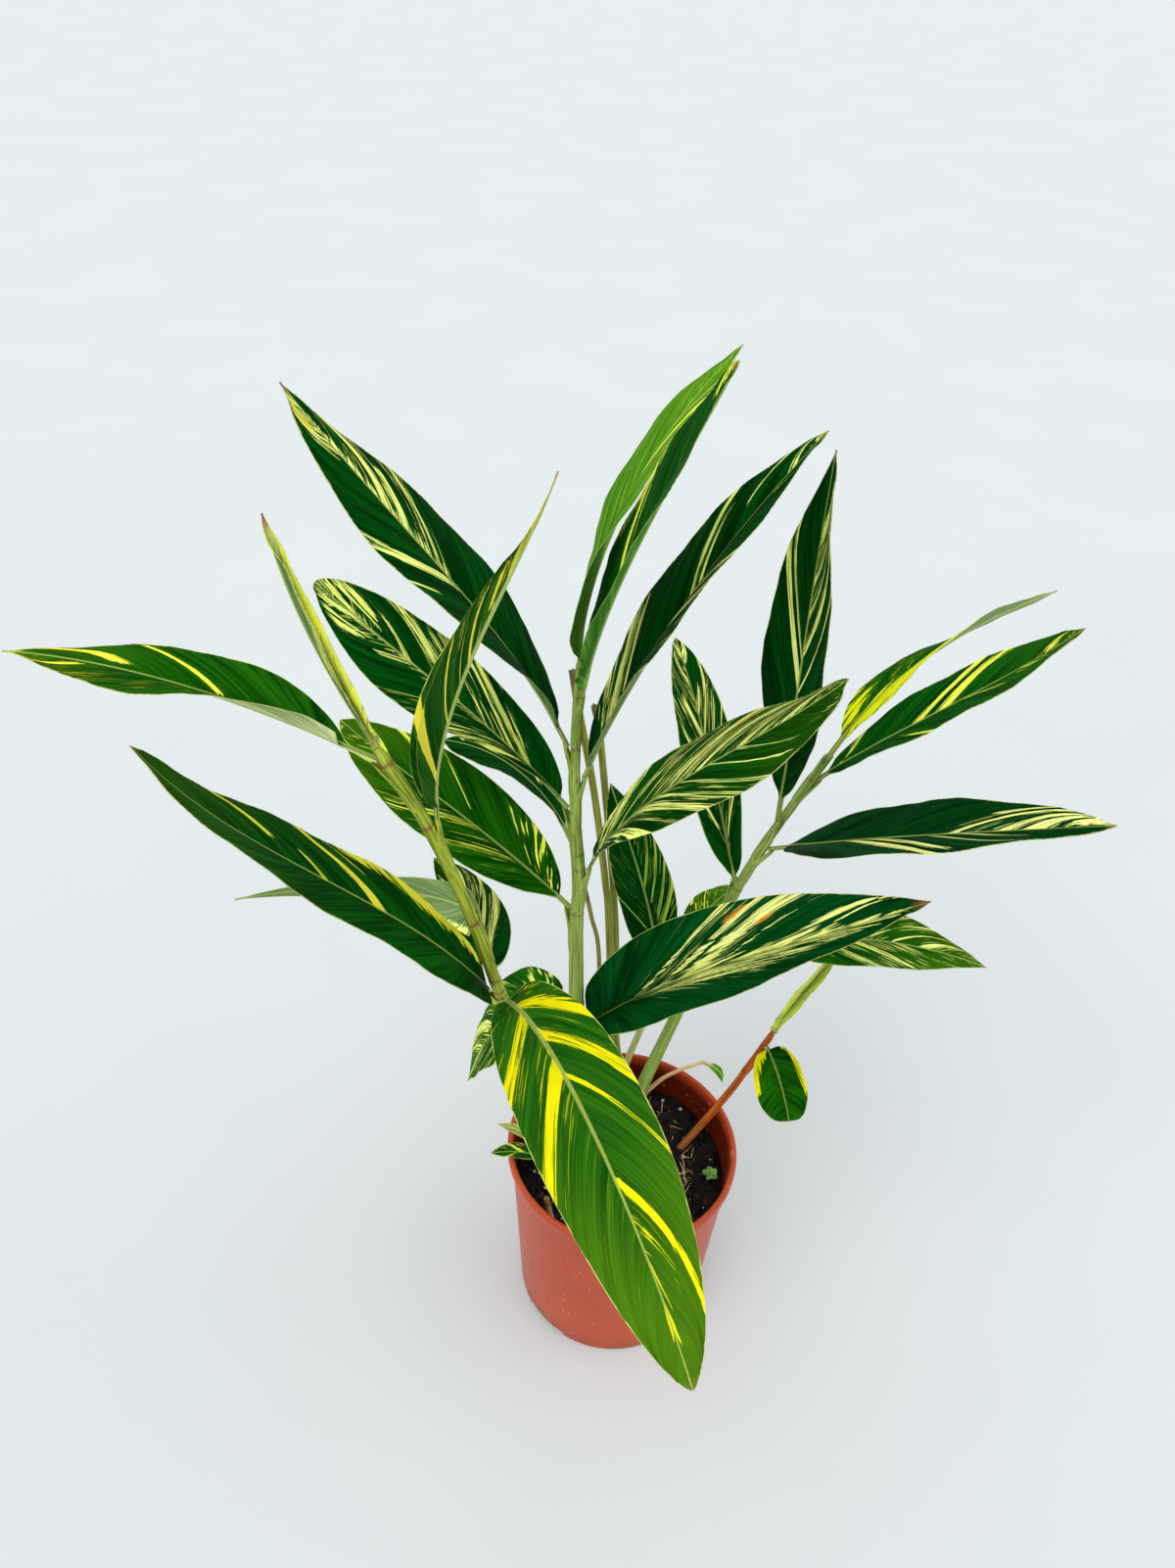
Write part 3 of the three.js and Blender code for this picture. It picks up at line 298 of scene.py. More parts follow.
class Paint:
    """The nodes of one material, which end in a plain shader."""
    def __init__(self, name):
        self.material = bpy.data.materials.new(name)
        self.material.use_nodes = True
        self.tree = self.material.node_tree
        self.tree.nodes.clear()
        out = self.tree.nodes.new("ShaderNodeOutputMaterial")
        self.shader = self.tree.nodes.new("ShaderNodeBsdfPrincipled")
        self.tree.links.new(self.shader.outputs[0], out.inputs["Surface"])

    def plug(self, value, socket):
        if isinstance(value, bpy.types.NodeSocket):
            self.tree.links.new(value, socket)
        else:
            socket.default_value = value

    def node(self, kind, *inputs, **settings):
        made = self.tree.nodes.new(kind)
        for key, value in settings.items():
            setattr(made, key, value)
        for value, socket in zip(inputs, made.inputs):
            self.plug(value, socket)
        return made

    def carried(self, name):
        """A vector that the mesh carries."""
        return self.node("ShaderNodeAttribute", attribute_name=name).outputs["Vector"]

    def parts(self, vector):
        return self.node("ShaderNodeSeparateXYZ", vector).outputs

    def place(self):
        return self.node("ShaderNodeTexCoord").outputs["Object"]

    def math(self, operation, *inputs):
        return self.node("ShaderNodeMath", *inputs, operation=operation).outputs[0]

    def plus(self, a, b):
        return self.math("ADD", a, b)

    def minus(self, a, b):
        return self.math("SUBTRACT", a, b)

    def times(self, a, b):
        return self.math("MULTIPLY", a, b)

    def larger(self, a, b):
        return self.math("MAXIMUM", a, b)

    def sum(self, a, share_a, b, share_b):
        return self.plus(self.times(a, share_a), self.times(b, share_b))

    def shake(self, value, noise, reach):
        """A value moved up and down by a noise."""
        return self.math("MULTIPLY_ADD", self.minus(noise, 0.5), reach, value)

    def vector(self, x, y, z):
        return self.node("ShaderNodeCombineXYZ", x, y, z).outputs[0]

    def stretch(self, vector, x, y, z):
        return self.node("ShaderNodeVectorMath", vector, (x, y, z), operation="MULTIPLY").outputs[0]

    def noise(self, vector, scale=1, detail=2, rough=0.5):
        made = self.node("ShaderNodeTexNoise", vector)
        made.inputs["Scale"].default_value = scale
        made.inputs["Detail"].default_value = detail
        made.inputs["Roughness"].default_value = rough
        return made.outputs["Fac"]

    def step(self, value, low, high, start=0, end=1):
        """A smooth way from start to end as the value goes from low to high."""
        made = self.node("ShaderNodeMapRange", value, low, high, start, end, interpolation_type="SMOOTHSTEP")
        return made.outputs[0]

    def mix(self, share, a, b):
        made = self.node("ShaderNodeMix", data_type="RGBA")
        sockets = {socket.identifier: socket for socket in (*made.inputs, *made.outputs)}
        self.plug(share, sockets["Factor_Float"])
        self.plug(a, sockets["A_Color"])
        self.plug(b, sockets["B_Color"])
        return sockets["Result_Color"]

    def tint(self, colour, other, value, low, high, start=0, end=1):
        """A colour with another one over it, from the start share to the end share as a value goes up."""
        return self.mix(self.step(value, low, high, start, end), colour, other)

    def finish(self, colour, rough, height, depth, strength=1, **settings):
        """Colour, roughness and bump into the shader. The height is a share of the depth, in metres."""
        bump = self.node("ShaderNodeBump")
        self.plug(strength, bump.inputs["Strength"])
        self.plug(depth, bump.inputs["Distance"])
        self.plug(height, bump.inputs["Height"])
        self.plug(colour, self.shader.inputs["Base Color"])
        self.plug(rough, self.shader.inputs["Roughness"])
        self.plug(bump.outputs[0], self.shader.inputs["Normal"])
        for key, value in settings.items():
            self.shader.inputs[key.replace("_", " ")].default_value = value
        return self.material


class LeafPaint(Paint):
    """Green streaks along the veins, bands and streaks of cream, pale rib and margin, greyer underside."""
    def __init__(self, name, look, number, blade):
        super().__init__(f"leaf_{name}")
        self.look = look
        self.blade = blade
        self.seed = LEAF_STEP * number
        self.vein, self.across, self.half = self.parts(self.carried("vein"))
        self.from_rib, self.from_edge, self.way = self.parts(self.carried("place"))
        self.streak = self.fibres(0.55, 0.8, 4, 0.6, 3)
        self.splay = self.fibres(0.75, 1.5, 2, 0.55, 5)
        self.hair = self.fibres(2.2, 1.4, 1, 0.5, 7)
        self.blot = self.noise(self.place(), 60, 3)

    def fibres(self, often, along, detail, rough, lane):
        """Noise drawn out along the veins: often is how often it changes a millimetre."""
        lanes = self.math("MULTIPLY_ADD", self.half, HALF_STEP, self.seed + lane)
        vector = self.vector(self.times(self.vein, often), self.times(self.across, along), lanes)
        return self.noise(vector, 1, detail, rough)

    def beams(self, near_rib, near_tip):
        """Turns the streaks beside the rib and at the tip so that they lie along the rib."""
        aside = self.times(self.math("MULTIPLY_ADD", self.way, -0.1 * self.blade, self.from_rib), 0.95)
        vector = self.vector(aside, self.times(self.way, 0.02 * self.blade), self.seed)
        beam = self.noise(vector, 1, 2, 0.6)
        beside = self.step(self.across, near_rib - 0.08, near_rib + 0.08, 1, 0)
        there = self.larger(beside, self.step(self.way, near_tip - 0.08, near_tip + 0.08))
        self.splay = self.math("MULTIPLY_ADD", self.minus(beam, self.splay), there, self.splay)

    def bands(self):
        """Strength, start and end across of the band at a place along the rib, off one ramp for each half."""
        share = self.times(self.vein, 1.0 / self.blade)
        right_half = self.math("GREATER_THAN", self.half, 0)
        halves = []
        for half in (-1, 1):
            made = self.node("ShaderNodeValToRGB", share)
            ramp = made.color_ramp
            ramp.interpolation = "LINEAR"
            last = 0
            for band in sorted(b[1:] for b in self.look["bands"] if b[0] == half):
                place, breadth, start, end, peak = np.array(band) / BAND_UNITS
                for far, strength in ((-1.35, 0), (-0.5, peak), (0.5, peak), (1.35, 0)):
                    last = max(place + far * breadth, last + 0.001)
                    ramp.elements.new(min(last, 0.999)).color = (strength / BAND_TOP, start, end, 1)
            ramp.elements[0].color = (0, 0, 0, 1)
            ramp.elements[len(ramp.elements) - 1].color = (0, 0, 1, 1)
            halves.append(made.outputs["Color"])
        found = self.node("ShaderNodeSeparateColor", self.mix(right_half, *halves)).outputs
        return self.times(found[0], BAND_TOP), found[1], found[2]

    def markings(self, patch, fine):
        """How far a point is in a band or fine streak, and in the lime green round them."""
        level, start, end = self.bands()
        begin = self.step(self.across, self.plus(start, -0.12), self.plus(start, 0.01))
        close = self.step(self.across, self.plus(end, -0.03), self.plus(end, 0.13))
        level = self.times(level, self.times(begin, self.minus(1, close)))
        level = self.times(self.larger(level, patch), self.look["cover"])
        gap = self.shake(self.step(self.splay, 0.34, 0.66, 0.12, 1), self.hair, 0.2)
        on_band = self.step(self.minus(level, gap), 0, 0.08)
        near_band = self.step(self.minus(self.times(level, 1.15), gap), -0.03, 0.1, 0, 0.8)
        gap = self.step(self.fibres(0.7, 2, 2, 0.5, 13), 0.3, 0.7, 0.1, 1)
        on_fine = self.step(self.minus(self.times(fine, 0.45), gap), 0, 0.08)
        near_fine = self.step(self.minus(self.times(fine, 0.62), gap), -0.03, 0.1, 0, 0.7)
        return self.larger(on_band, on_fine), self.larger(near_band, near_fine)

    def green(self, tone):
        """Streaks of green, with painted light towards the tip, as if the tip were lit through."""
        dark, light = self.look["greens"]
        colour = self.tint(dark, light, tone, 0.38, 0.64)
        colour = self.tint(colour, scaled(light, 1.3), self.hair, 0.5, 0.75, 0, 0.35)
        fleck = self.fibres(1.5, 6, 1, 0.5, 9)
        colour = self.tint(colour, between(light, self.look["mark"], 0.08), fleck, 0.64, 0.76, 0, 0.3)
        if self.look["painted_glow"]:
            # Painted light: a yellow-green brightening towards the tip, as if light shone through the blade.
            lit = self.plus(self.way, self.times(self.plus(self.across, self.streak), 0.16))
            colour = self.tint(colour, srgb(112, 152, 18), lit, 0.66, 1.12, 0, self.look["painted_glow"])
        return colour

    def rib_and_margin(self, colour):
        wide = self.step(self.way, 0, 1, 1.25 * self.look["rib"], 0.45)
        rib_colour = self.look["rib_colour"] or between(srgb(186, 204, 106), self.look["greens"][1], 0.35)
        colour = self.tint(colour, rib_colour, self.math("DIVIDE", self.from_rib, wide), 0.5, 1.2, 0.85, 0)
        noise = self.noise(self.vector(self.times(self.vein, 0.12), self.half, self.seed), 1, 1)
        wide = self.step(noise, 0.35, 0.7, 0.08, 0.6)
        return self.tint(colour, srgb(206, 206, 116), self.minus(wide, self.from_edge), -0.12, 0.1, 0, 0.75)

    def underside(self, tone, marked):
        """Paler and greyer than the face, with its bands showing through."""
        pale = self.look["pale"]
        greens = self.look["beneath"] or (between(srgb(76, 108, 54), srgb(132, 156, 100), pale),
                                          between(srgb(112, 140, 82), srgb(176, 194, 146), pale))
        mark = self.look["beneath_mark"] or between(self.look["mark"], srgb(196, 202, 140), 0.5)
        colour = self.mix(self.times(marked, 0.75), self.tint(*greens, tone, 0.36, 0.64), mark)
        return self.tint(colour, srgb(168, 184, 104), self.from_rib, 0.6, 1.6, 0.85, 0)

    def wilted(self, colour, spot):
        """Scorched spots and a dry tip."""
        colour = self.tint(colour, self.look["scorch"], self.shake(spot, self.splay, 1.2), 0.4, 0.7, 0, 0.9)
        dry = self.look["dry"]
        parched = self.shake(self.way, self.blot, 0.08)
        return self.tint(colour, srgb(150, 104, 66), parched, 0.985 - 0.06 * dry, 0.995, 0, min(1, dry * 3))

    def build(self):
        patch, fine, spot = self.parts(self.carried("mark"))
        under = self.parts(self.carried("under"))[0]
        light, mark = self.look["greens"][1], self.look["mark"]
        if self.look["beam"]:
            self.beams(*self.look["beam"])
        tone = self.sum(self.streak, 0.6, self.fibres(0.1, 0.8, 1, 0.5, 0), 0.4)
        marked, lime = self.markings(patch, fine)
        band = self.tint(mark, scaled(mark, 0.94), self.blot, 0.35, 0.7)
        band = self.tint(band, between(mark, light, 0.3), self.streak, 0.54, 0.7, 0, 0.25)
        colour = self.mix(lime, self.green(tone), between(scaled(light, 1.3), mark, 0.11))
        colour = self.rib_and_margin(self.mix(marked, colour, band))
        colour = self.wilted(self.mix(under, colour, self.underside(tone, marked)), spot)
        rough = self.plus(self.step(self.hair, 0.2, 0.8, 0.36, 0.5), self.times(under, 0.14))
        height = self.sum(self.streak, 0.6, self.hair, 0.5)
        return self.finish(colour, rough, height, 0.0003, 0.5, Specular_IOR_Level=0.004,
                           Specular_Tint=(0.5, 0.9, 0.5, 1))


def cane_paint(name, dark, light, node_strength, dry):
    """Long fibres along the sheaths, a thin brown line at the nodes, a browner foot and a dry cut top."""
    paint = Paint(name)
    around = paint.carried("around")
    node, top, foot = paint.parts(paint.carried("way"))
    fibre = paint.noise(paint.stretch(around, 0.7, 0.7, 0.5), 1, 4, 0.6)
    fine = paint.noise(paint.stretch(around, 3.4, 3.4, 0.9))
    blot = paint.noise(paint.place(), 90, 4)
    colour = paint.tint(dark, light, fibre, 0.36, 0.64)
    colour = paint.tint(colour, scaled(light, 1.3), fine, 0.5, 0.7, 0, 0.5)
    colour = paint.tint(colour, scaled(dark, 0.7), fine, 0.3, 0.46, 0.4, 0)
    colour = paint.tint(colour, srgb(120, 72, 48), paint.shake(node, fibre, 7), 0.2, 2.2, node_strength, 0)
    colour = paint.tint(colour, srgb(134, 112, 62), paint.shake(foot, blot, 60), 4, 48, 0.4, 0)
    if dry:
        colour = paint.tint(colour, dry, paint.shake(top, blot, 18), 3, 15, 0.95, 0)
    colour = paint.tint(colour, scaled(dark, 0.6), paint.noise(paint.place(), 420), 0.7, 0.76, 0, 0.4)
    rough = paint.step(fibre, 0.2, 0.8, 0.42, 0.6)
    return paint.finish(colour, rough, paint.sum(fibre, 0.5, fine, 0.5), 0.0004, 0.6, Specular_IOR_Level=0.2)


def pot_paint():
    """Satin terracotta plastic: faint flow marks, dust, scuffs and splashes of soil near the foot, and painted
    shade inside the pot.
    """
    paint = Paint("pot_plastic")
    place = paint.place()
    z = paint.parts(place)[2]
    cloud = paint.noise(place, 9, 4)
    flow = paint.noise(paint.stretch(place, 26, 26, 3), 1, 3)
    scuff = paint.noise(paint.stretch(place, 70, 70, 22), 1, 5, 0.7)
    colour = paint.tint(srgb(166, 60, 24), srgb(185, 75, 36), cloud, 0.3, 0.7)
    colour = paint.tint(colour, srgb(150, 60, 36), flow, 0.45, 0.8, 0, 0.35)
    # Painted shade: the inside of the pot is much darker than the outside, as if in the shadow of its wall.
    shaded_inner_colour = paint.tint(srgb(86, 23, 6), srgb(100, 29, 9), cloud, 0.3, 0.7)
    colour = paint.mix(paint.parts(paint.carried("inside"))[0], colour, shaded_inner_colour)
    colour = paint.tint(colour, srgb(218, 158, 134), scuff, 0.64, 0.74, 0, 0.4)
    colour = paint.tint(colour, srgb(206, 176, 158), paint.noise(place, 260), 0.7, 0.74, 0, 0.55)
    splash = paint.sum(paint.noise(place, 150, 3), 0.055, z, -1.0)
    colour = paint.tint(colour, srgb(96, 54, 38), splash, 0, 0.03, 0, 0.35)
    rough = paint.plus(paint.step(cloud, 0.2, 0.8, 0.32, 0.42), paint.step(scuff, 0.55, 0.75, 0, 0.2))
    height = paint.sum(paint.noise(place, 900), 0.35, flow, 0.65)
    return paint.finish(colour, rough, height, 0.0003, 0.35, Specular_IOR_Level=0.25)


def crumb_paint(name, dark, light, scale, depth, rough_from=0.7, rough_to=0.95, third=None):
    """Earth, bark, grit or straw: two or three colours mixed at the scale of the crumbs."""
    paint = Paint(name)
    place = paint.place()
    cloud = paint.noise(place, scale, 4, 0.65)
    grain = paint.noise(place, scale * 4, 3, 0.7)
    colour = paint.tint(dark, light, cloud, 0.3, 0.7)
    if third:
        colour = paint.tint(colour, third, grain, 0.62, 0.74, 0, 0.8)
    colour = paint.tint(colour, scaled(dark, 0.5), grain, 0.2, 0.5, 0.6, 0)
    rough = paint.step(grain, 0.2, 0.8, rough_from, rough_to)
    return paint.finish(colour, rough, paint.sum(cloud, 0.5, grain, 0.5), depth, Specular_IOR_Level=0.2)


def seedling_paint():
    """Fresh green with a lighter rim."""
    paint = Paint("seedling")
    blot = paint.noise(paint.place(), 400, 3)
    colour = paint.tint(srgb(62, 118, 38), srgb(120, 168, 70), blot, 0.3, 0.7)
    from_middle = paint.parts(paint.carried("tint"))[0]
    colour = paint.tint(colour, srgb(150, 186, 96), from_middle, 0.6, 1, 0, 0.35)
    return paint.finish(colour, paint.step(blot, 0.2, 0.8, 0.45, 0.6), blot, 0.0003, 0.6)


# Making pieces
X_AXIS, Y_AXIS, Z_AXIS = np.eye(3)


def new_object(name, data):
    made = bpy.data.objects.new(name, data)
    bpy.context.scene.collection.objects.link(made)
    return made


def new_mesh(name, points, faces):
    """A mesh from points in millimetres."""
    mesh = bpy.data.meshes.new(name)
    mesh.from_pydata([tuple(p) for p in np.asarray(points, float) * MM], [], faces)
    return mesh


def dress(made, material, slot, nodes=(), sharp=None):
    """Smooth shading and a material for an object that rides on the plant and replaces the nodes; the slot is
    not used.
    """
    made.data.shade_smooth()
    if sharp:
        made.data.set_sharp_from_angle(angle=math.radians(sharp))
    made.data.materials.append(material)
    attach(made, BODY)
    if nodes:
        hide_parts(*nodes)


def piece(name, points, faces, material, slot, nodes=(), attributes=(), sharp=None):
    """One closed mesh, with the vectors that its material reads."""
    mesh = new_mesh(name, points, faces)
    mesh.validate()
    for key, values in attributes:
        made = mesh.attributes.new(key, "FLOAT_VECTOR", "POINT")
        made.data.foreach_set("vector", np.asarray(values, np.float32).ravel())
    dress(new_object(name, mesh), material, slot, nodes, sharp)


def unit(v):
    return v / np.linalg.norm(v, axis=-1, keepdims=True)


def smooth(x, low, high):
    t = np.clip((x - low) / (high - low), 0, 1)
    return t * t * (3 - 2 * t)


def circle(sides):
    return np.linspace(0, 2 * math.pi, sides, endpoint=False)


def ring(centre, east, north, radius, turns):
    """Points round a centre, in the plane of two directions."""
    spin = np.cos(turns)[:, None] * east + np.sin(turns)[:, None] * north
    return centre + np.reshape(radius, (-1, 1)) * spin


def ring_basis(along):
    east = unit(X_AXIS - along * along[..., :1])
    return east, np.cross(along, east)


def tube_faces(count, sides):
    """Faces of a closed tube whose points lie ring by ring."""
    faces = []
    for i in range(count - 1):
        for j in range(sides):
            a, b = i * sides + j, i * sides + (j + 1) % sides
            faces.append((a, b, b + sides, a + sides))
    return [*faces, tuple(range(sides - 1, -1, -1)), tuple(range((count - 1) * sides, count * sides))]


def sheet_faces(rows, columns):
    """Faces of a closed sheet: an upper skin, a lower skin whose points follow, and the strip between."""
    total = rows * columns
    index = np.arange(total).reshape(rows, columns)
    a, b, c, d = index[:-1, :-1], index[:-1, 1:], index[1:, 1:], index[1:, :-1]
    faces = [*np.stack([a, b, c, d], -1).reshape(-1, 4), *np.stack([a, d, c, b], -1).reshape(-1, 4) + total]
    border = [*index[0, :], *index[1:, -1], *index[-1, :-1][::-1], *index[1:-1, 0][::-1]]
    faces += [(b, a, a + total, b + total) for a, b in zip(border, [*border[1:], border[0]])]
    return [tuple(int(n) for n in face) for face in faces]


class Line:
    """The middle line of a cane, from the end in the soil to the top, by share of its length."""
    def __init__(self, name):
        path, self.radii = CANES[name]
        path = np.array(path, float)
        self.ground = path[0][2]
        knots = np.vstack([path[0] + unit(path[0] - path[1]) * (HOLE_DEPTH - 2), path])
        knots = np.vstack([2 * knots[0] - knots[1], knots, 2 * knots[-1] - knots[-2]])
        t = np.linspace(0, 1, 60, endpoint=False)[:, None]
        parts = []
        for a, b, c, d in zip(knots[:-3], knots[1:-2], knots[2:-1], knots[3:]):
            m, n = 0.5 * (c - a), 0.5 * (d - b)
            parts.append(b + m * t + (3 * (c - b) - 2 * m - n) * t**2 + (2 * (b - c) + m + n) * t**3)
        self.points = np.vstack([*parts, knots[-2]])
        run = np.linalg.norm(np.diff(self.points, axis=0), axis=1)
        self.length = run.sum()
        self.shares = np.concatenate([[0], np.cumsum(run)]) / self.length
        self.start = self.share_at(self.ground)

    def at(self, share):
        return np.stack([np.interp(share, self.shares, self.points[:, k]) for k in range(3)], -1)

    def along(self, share):
        share = np.asarray(share, float)
        return unit(self.at(np.minimum(share + 0.004, 1)) - self.at(np.maximum(share - 0.004, 0)))

    def share_at(self, height):
        return float(np.interp(height, self.points[:, 2], self.shares))

    def radius(self, share):
        way = np.clip((share - self.start) / (1 - self.start), 0, 1)
        return self.radii[0] + (self.radii[1] - self.radii[0]) * way**CANE_TAPER


lines = {name: Line(name) for name in CANES}


# Blades. Of a point on a leaf, way is its place along the whole length, across its place between the rib (0)
# and the margin (1), half is -1 on the left, 1 on the right and 0 on the rib, and vein is where on the blade
# the vein through it leaves the rib.

# Veins that leave the rib in this first share of the blade bend out less than the others
FIRST_VEINS = 0.12
# Gaps between rows of points along the rib: near the foot of the blade, on the rest of it and on the stalk
FOOT_GAP, ROW_GAP, STALK_GAP = 3.2, 2, 3
# Columns of points beside the rib, in millimetres, and from there to the margin, as shares
CORE = (0.45, 0.95, 1.7)
OUTER = (0.12, 0.26, 0.42, 0.58, 0.74, 0.88, 0.96, 1)
# Breadth of a pleat between two veins
PLEAT = 4.3


def leaf_frame(leaf, way):
    """Directions along the rib, across to the left and up from the face."""
    heading = np.radians(leaf["heading"] + leaf["sweep"] * way)
    slope = np.radians(leaf["rise"] - leaf["droop"] * way - leaf["curl"] * way * way)
    along = np.stack([np.cos(heading) * np.cos(slope), np.sin(heading) * np.cos(slope), np.sin(slope)], -1)
    level = np.stack([-np.sin(heading), np.cos(heading), 0 * heading], -1)
    roll = (leaf["tilt"] + leaf["twist"] * (way - 0.5)) * np.clip(way / ROLL_START, 0, 1)
    roll = np.radians(roll)[..., None]
    side = level * np.cos(roll) + np.cross(along, level) * np.sin(roll)
    return along, side, np.cross(along, side)


def half_width(leaf, way):
    stalk = leaf["stalk"] / leaf["length"]
    blade = np.clip((way - stalk) / (1 - stalk), 0, 1)
    foot, tip = leaf["foot"], leaf["tip"]
    widest = foot / (foot + tip)
    shape = (blade**foot * (1 - blade) ** tip) / (widest**foot * (1 - widest) ** tip)
    least = np.minimum(np.where(way < 0.5, STALK_WIDTH / 2, TIP_WIDTH / 2), leaf["width"] * 0.2)
    return np.maximum(leaf["width"] / 2 * shape, least)


def leaf_start(leaf):
    line = lines[leaf["cane"]]
    along = leaf_frame(leaf, np.float64(0))[0]
    if leaf["at"] == TIP:
        return line.at(1.0) + along
    share = line.share_at(leaf["at"])
    reach = line.radius(share) * (1 + SWELL) + 0.3 + STALK_HALF * abs(along[2])
    turn = math.radians(leaf["heading"])
    return line.at(share) + reach * np.array([math.cos(turn), math.sin(turn), 0])


def leaf_middle(leaf, way):
    """Points on the rib."""
    count = 240
    along = leaf_frame(leaf, (np.arange(count) + 0.5) / count)[0]
    start = leaf_start(leaf)
    middle = np.vstack([start, start + np.cumsum(along, axis=0) * leaf["length"] / count])
    grid = np.linspace(0, 1, count + 1)
    return np.stack([np.interp(way, grid, middle[:, k]) for k in range(3)], -1)


def leaf_grid(leaf, run, bend):
    """Vein, across, half and way of each point, with a row of points along each vein."""
    stalk = leaf["stalk"] / leaf["length"]
    blade = (1 - stalk) * leaf["length"]
    foot_rows = int(np.clip(blade * FIRST_VEINS * (1 + run / FIRST_VEINS) / FOOT_GAP, 8, 60))
    rows = int(np.clip(blade * (1 - FIRST_VEINS) / ROW_GAP, 20, 130))
    stalk_rows = max(3, int(leaf["stalk"] / STALK_GAP))
    veins = [*np.linspace(0, FIRST_VEINS, foot_rows, endpoint=False), *np.linspace(FIRST_VEINS, 1, rows)]
    ways = [*np.linspace(0, stalk, stalk_rows, endpoint=False), *(stalk + (1 - stalk) * np.array(veins))]
    core = np.minimum(CORE[-1] / half_width(leaf, np.array(ways)), 0.5)[:, None]
    right = np.hstack([core * CORE / CORE[-1], core + (1 - core) * OUTER])
    across = np.hstack([right[:, ::-1], np.zeros((len(ways), 1)), right])
    half = np.sign(np.arange(across.shape[1]) - right.shape[1]) * np.ones_like(across)
    vein = np.array([0] * stalk_rows + veins)[:, None] * np.ones_like(across)
    reach = np.minimum(1, vein / FIRST_VEINS) * np.minimum(1, (1 - vein) / (run / 0.8))
    return vein, across, half, np.array(ways)[:, None] + (1 - stalk) * run * across**bend * reach


def leaf_marks(look, vein, across, half):
    """Strength of the patches, fine streaks and scorched spots."""
    patch, fine, spot = np.zeros((3, *vein.shape))
    for grid, areas in ((patch, look["patches"]), (fine, look["fine"])):
        for side, *area in areas:
            start, end, inner, outer, strength = np.array(area) / 100
            along = smooth(vein, start - 0.04, start + 0.04) * (1 - smooth(vein, end - 0.04, end + 0.04))
            aside = smooth(across, inner - 0.15, inner + 0.05)
            aside = aside * (1 - smooth(across, outer - 0.05, outer + 0.15))
            np.maximum(grid, np.where(half == side, strength * along * aside, 0), out=grid)
    for side, start, out, size in look["spots"]:
        far = np.hypot((vein - start) * 200, (across - out) * 28) / size
        np.maximum(spot, np.where(half == side, np.clip(1.3 - far, 0, 1), 0), out=spot)
    return patch, fine, spot


def leaf_relief(leaf, vein, across, half, way):
    """Ripples of the blade, its swelling between rib and margin and the pleats along its veins."""
    length = leaf["length"]
    wave = WAVE_HEIGHT * min(1, leaf["width"] / FULL_WAVE) * across**2
    wave = wave * np.sin(2 * math.pi * WAVE_TURNS * way + length + half * across)
    ripple = 0.15 * across**3 * np.sin(2 * math.pi * 11 * way + 1.7 * length + 2 * half)
    swelling = 0.045 * half_width(leaf, way) * np.sin(math.pi * across**0.8)
    pleat = 0.1 * np.sin(vein * (length - leaf["stalk"]) / PLEAT * 2 * math.pi + half)
    return wave + ripple + swelling + pleat * smooth(across, 0.05, 0.3)


def mound(out, height, breadth):
    """A height over the rib that falls off on both sides."""
    return height * np.exp(-(out / breadth) ** 2)


def leaf_skins(leaf, flip, vein, across, half, way):
    """Points of a leaf's upper and lower skin, and how far they lie from the rib and the margin."""
    side, up = leaf_frame(leaf, way)[1:]
    wide = half_width(leaf, way)
    spread = np.clip(wide / FOLD_WIDTH, 0, 1) ** 2
    foot = np.where(half < 0, leaf["left_foot"], leaf["right_foot"])
    tip = np.where(half < 0, leaf["left_tip"], leaf["right_tip"])
    fold = np.radians(foot + (tip - foot) * way) * spread * abs(half)
    out = across * wide
    normal = (half * np.sin(fold))[..., None] * side + np.cos(fold)[..., None] * up
    middle = leaf_middle(leaf, way)
    middle = middle - (half * np.cos(fold) * out)[..., None] * side + (np.sin(fold) * out)[..., None] * up
    middle = middle + (leaf_relief(leaf, vein, across, half, way) * spread)[..., None] * normal
    stalky = np.clip(1 - (way * leaf["length"] - leaf["stalk"]) / THINNING, 0, 1)
    bulk = mound(out, min(STALK_HALF, leaf["width"] * 0.08) - 0.2, 2.4) * stalky + 0.22 - 0.1 * across
    taper = (1 - 0.75 * way) * min(1, leaf["width"] / 30)
    over, below = -mound(out, 0.34, 0.55) * taper, mound(out, 0.75, 0.85) * taper
    if flip:
        over, below = below, over
    upper = middle + (bulk + over)[..., None] * normal
    lower = middle - (bulk + below)[..., None] * normal
    return np.vstack([upper.reshape(-1, 3), lower.reshape(-1, 3)]), out, wide - out


def blade_piece(number, leaf):
    name = leaf["name"]
    look = PLAIN_LOOK | LOOKS[name]
    stalk = leaf["stalk"] / leaf["length"]
    blade = (1 - stalk) * leaf["length"]
    vein, across, half, way = leaf_grid(leaf, *look["run"])
    points, from_rib, from_edge = leaf_skins(leaf, look["flip"], vein, across, half, way)
    under = np.zeros((2, vein.size, 3))
    under[0 if look["flip"] else 1, :, 0] = 1

    def both(*parts):
        return np.tile(np.stack(parts, -1).reshape(-1, 3), (2, 1))

    attributes = (("vein", both(vein * blade, across, half)),
                  ("place", both(from_rib, from_edge, np.clip((way - stalk) / (1 - stalk), 0, 1))),
                  ("mark", both(*leaf_marks(look, vein, across, half))), ("under", under))
    paint = LeafPaint(name, look, number, blade).build()
    faces = sheet_faces(*vein.shape)
    piece(f"blade_{name}", points, faces, paint, look["slot"], (f"leaf_{name}",), attributes, sharp=50)


for number, leaf in enumerate(LEAVES, 1):
    blade_piece(number, leaf)


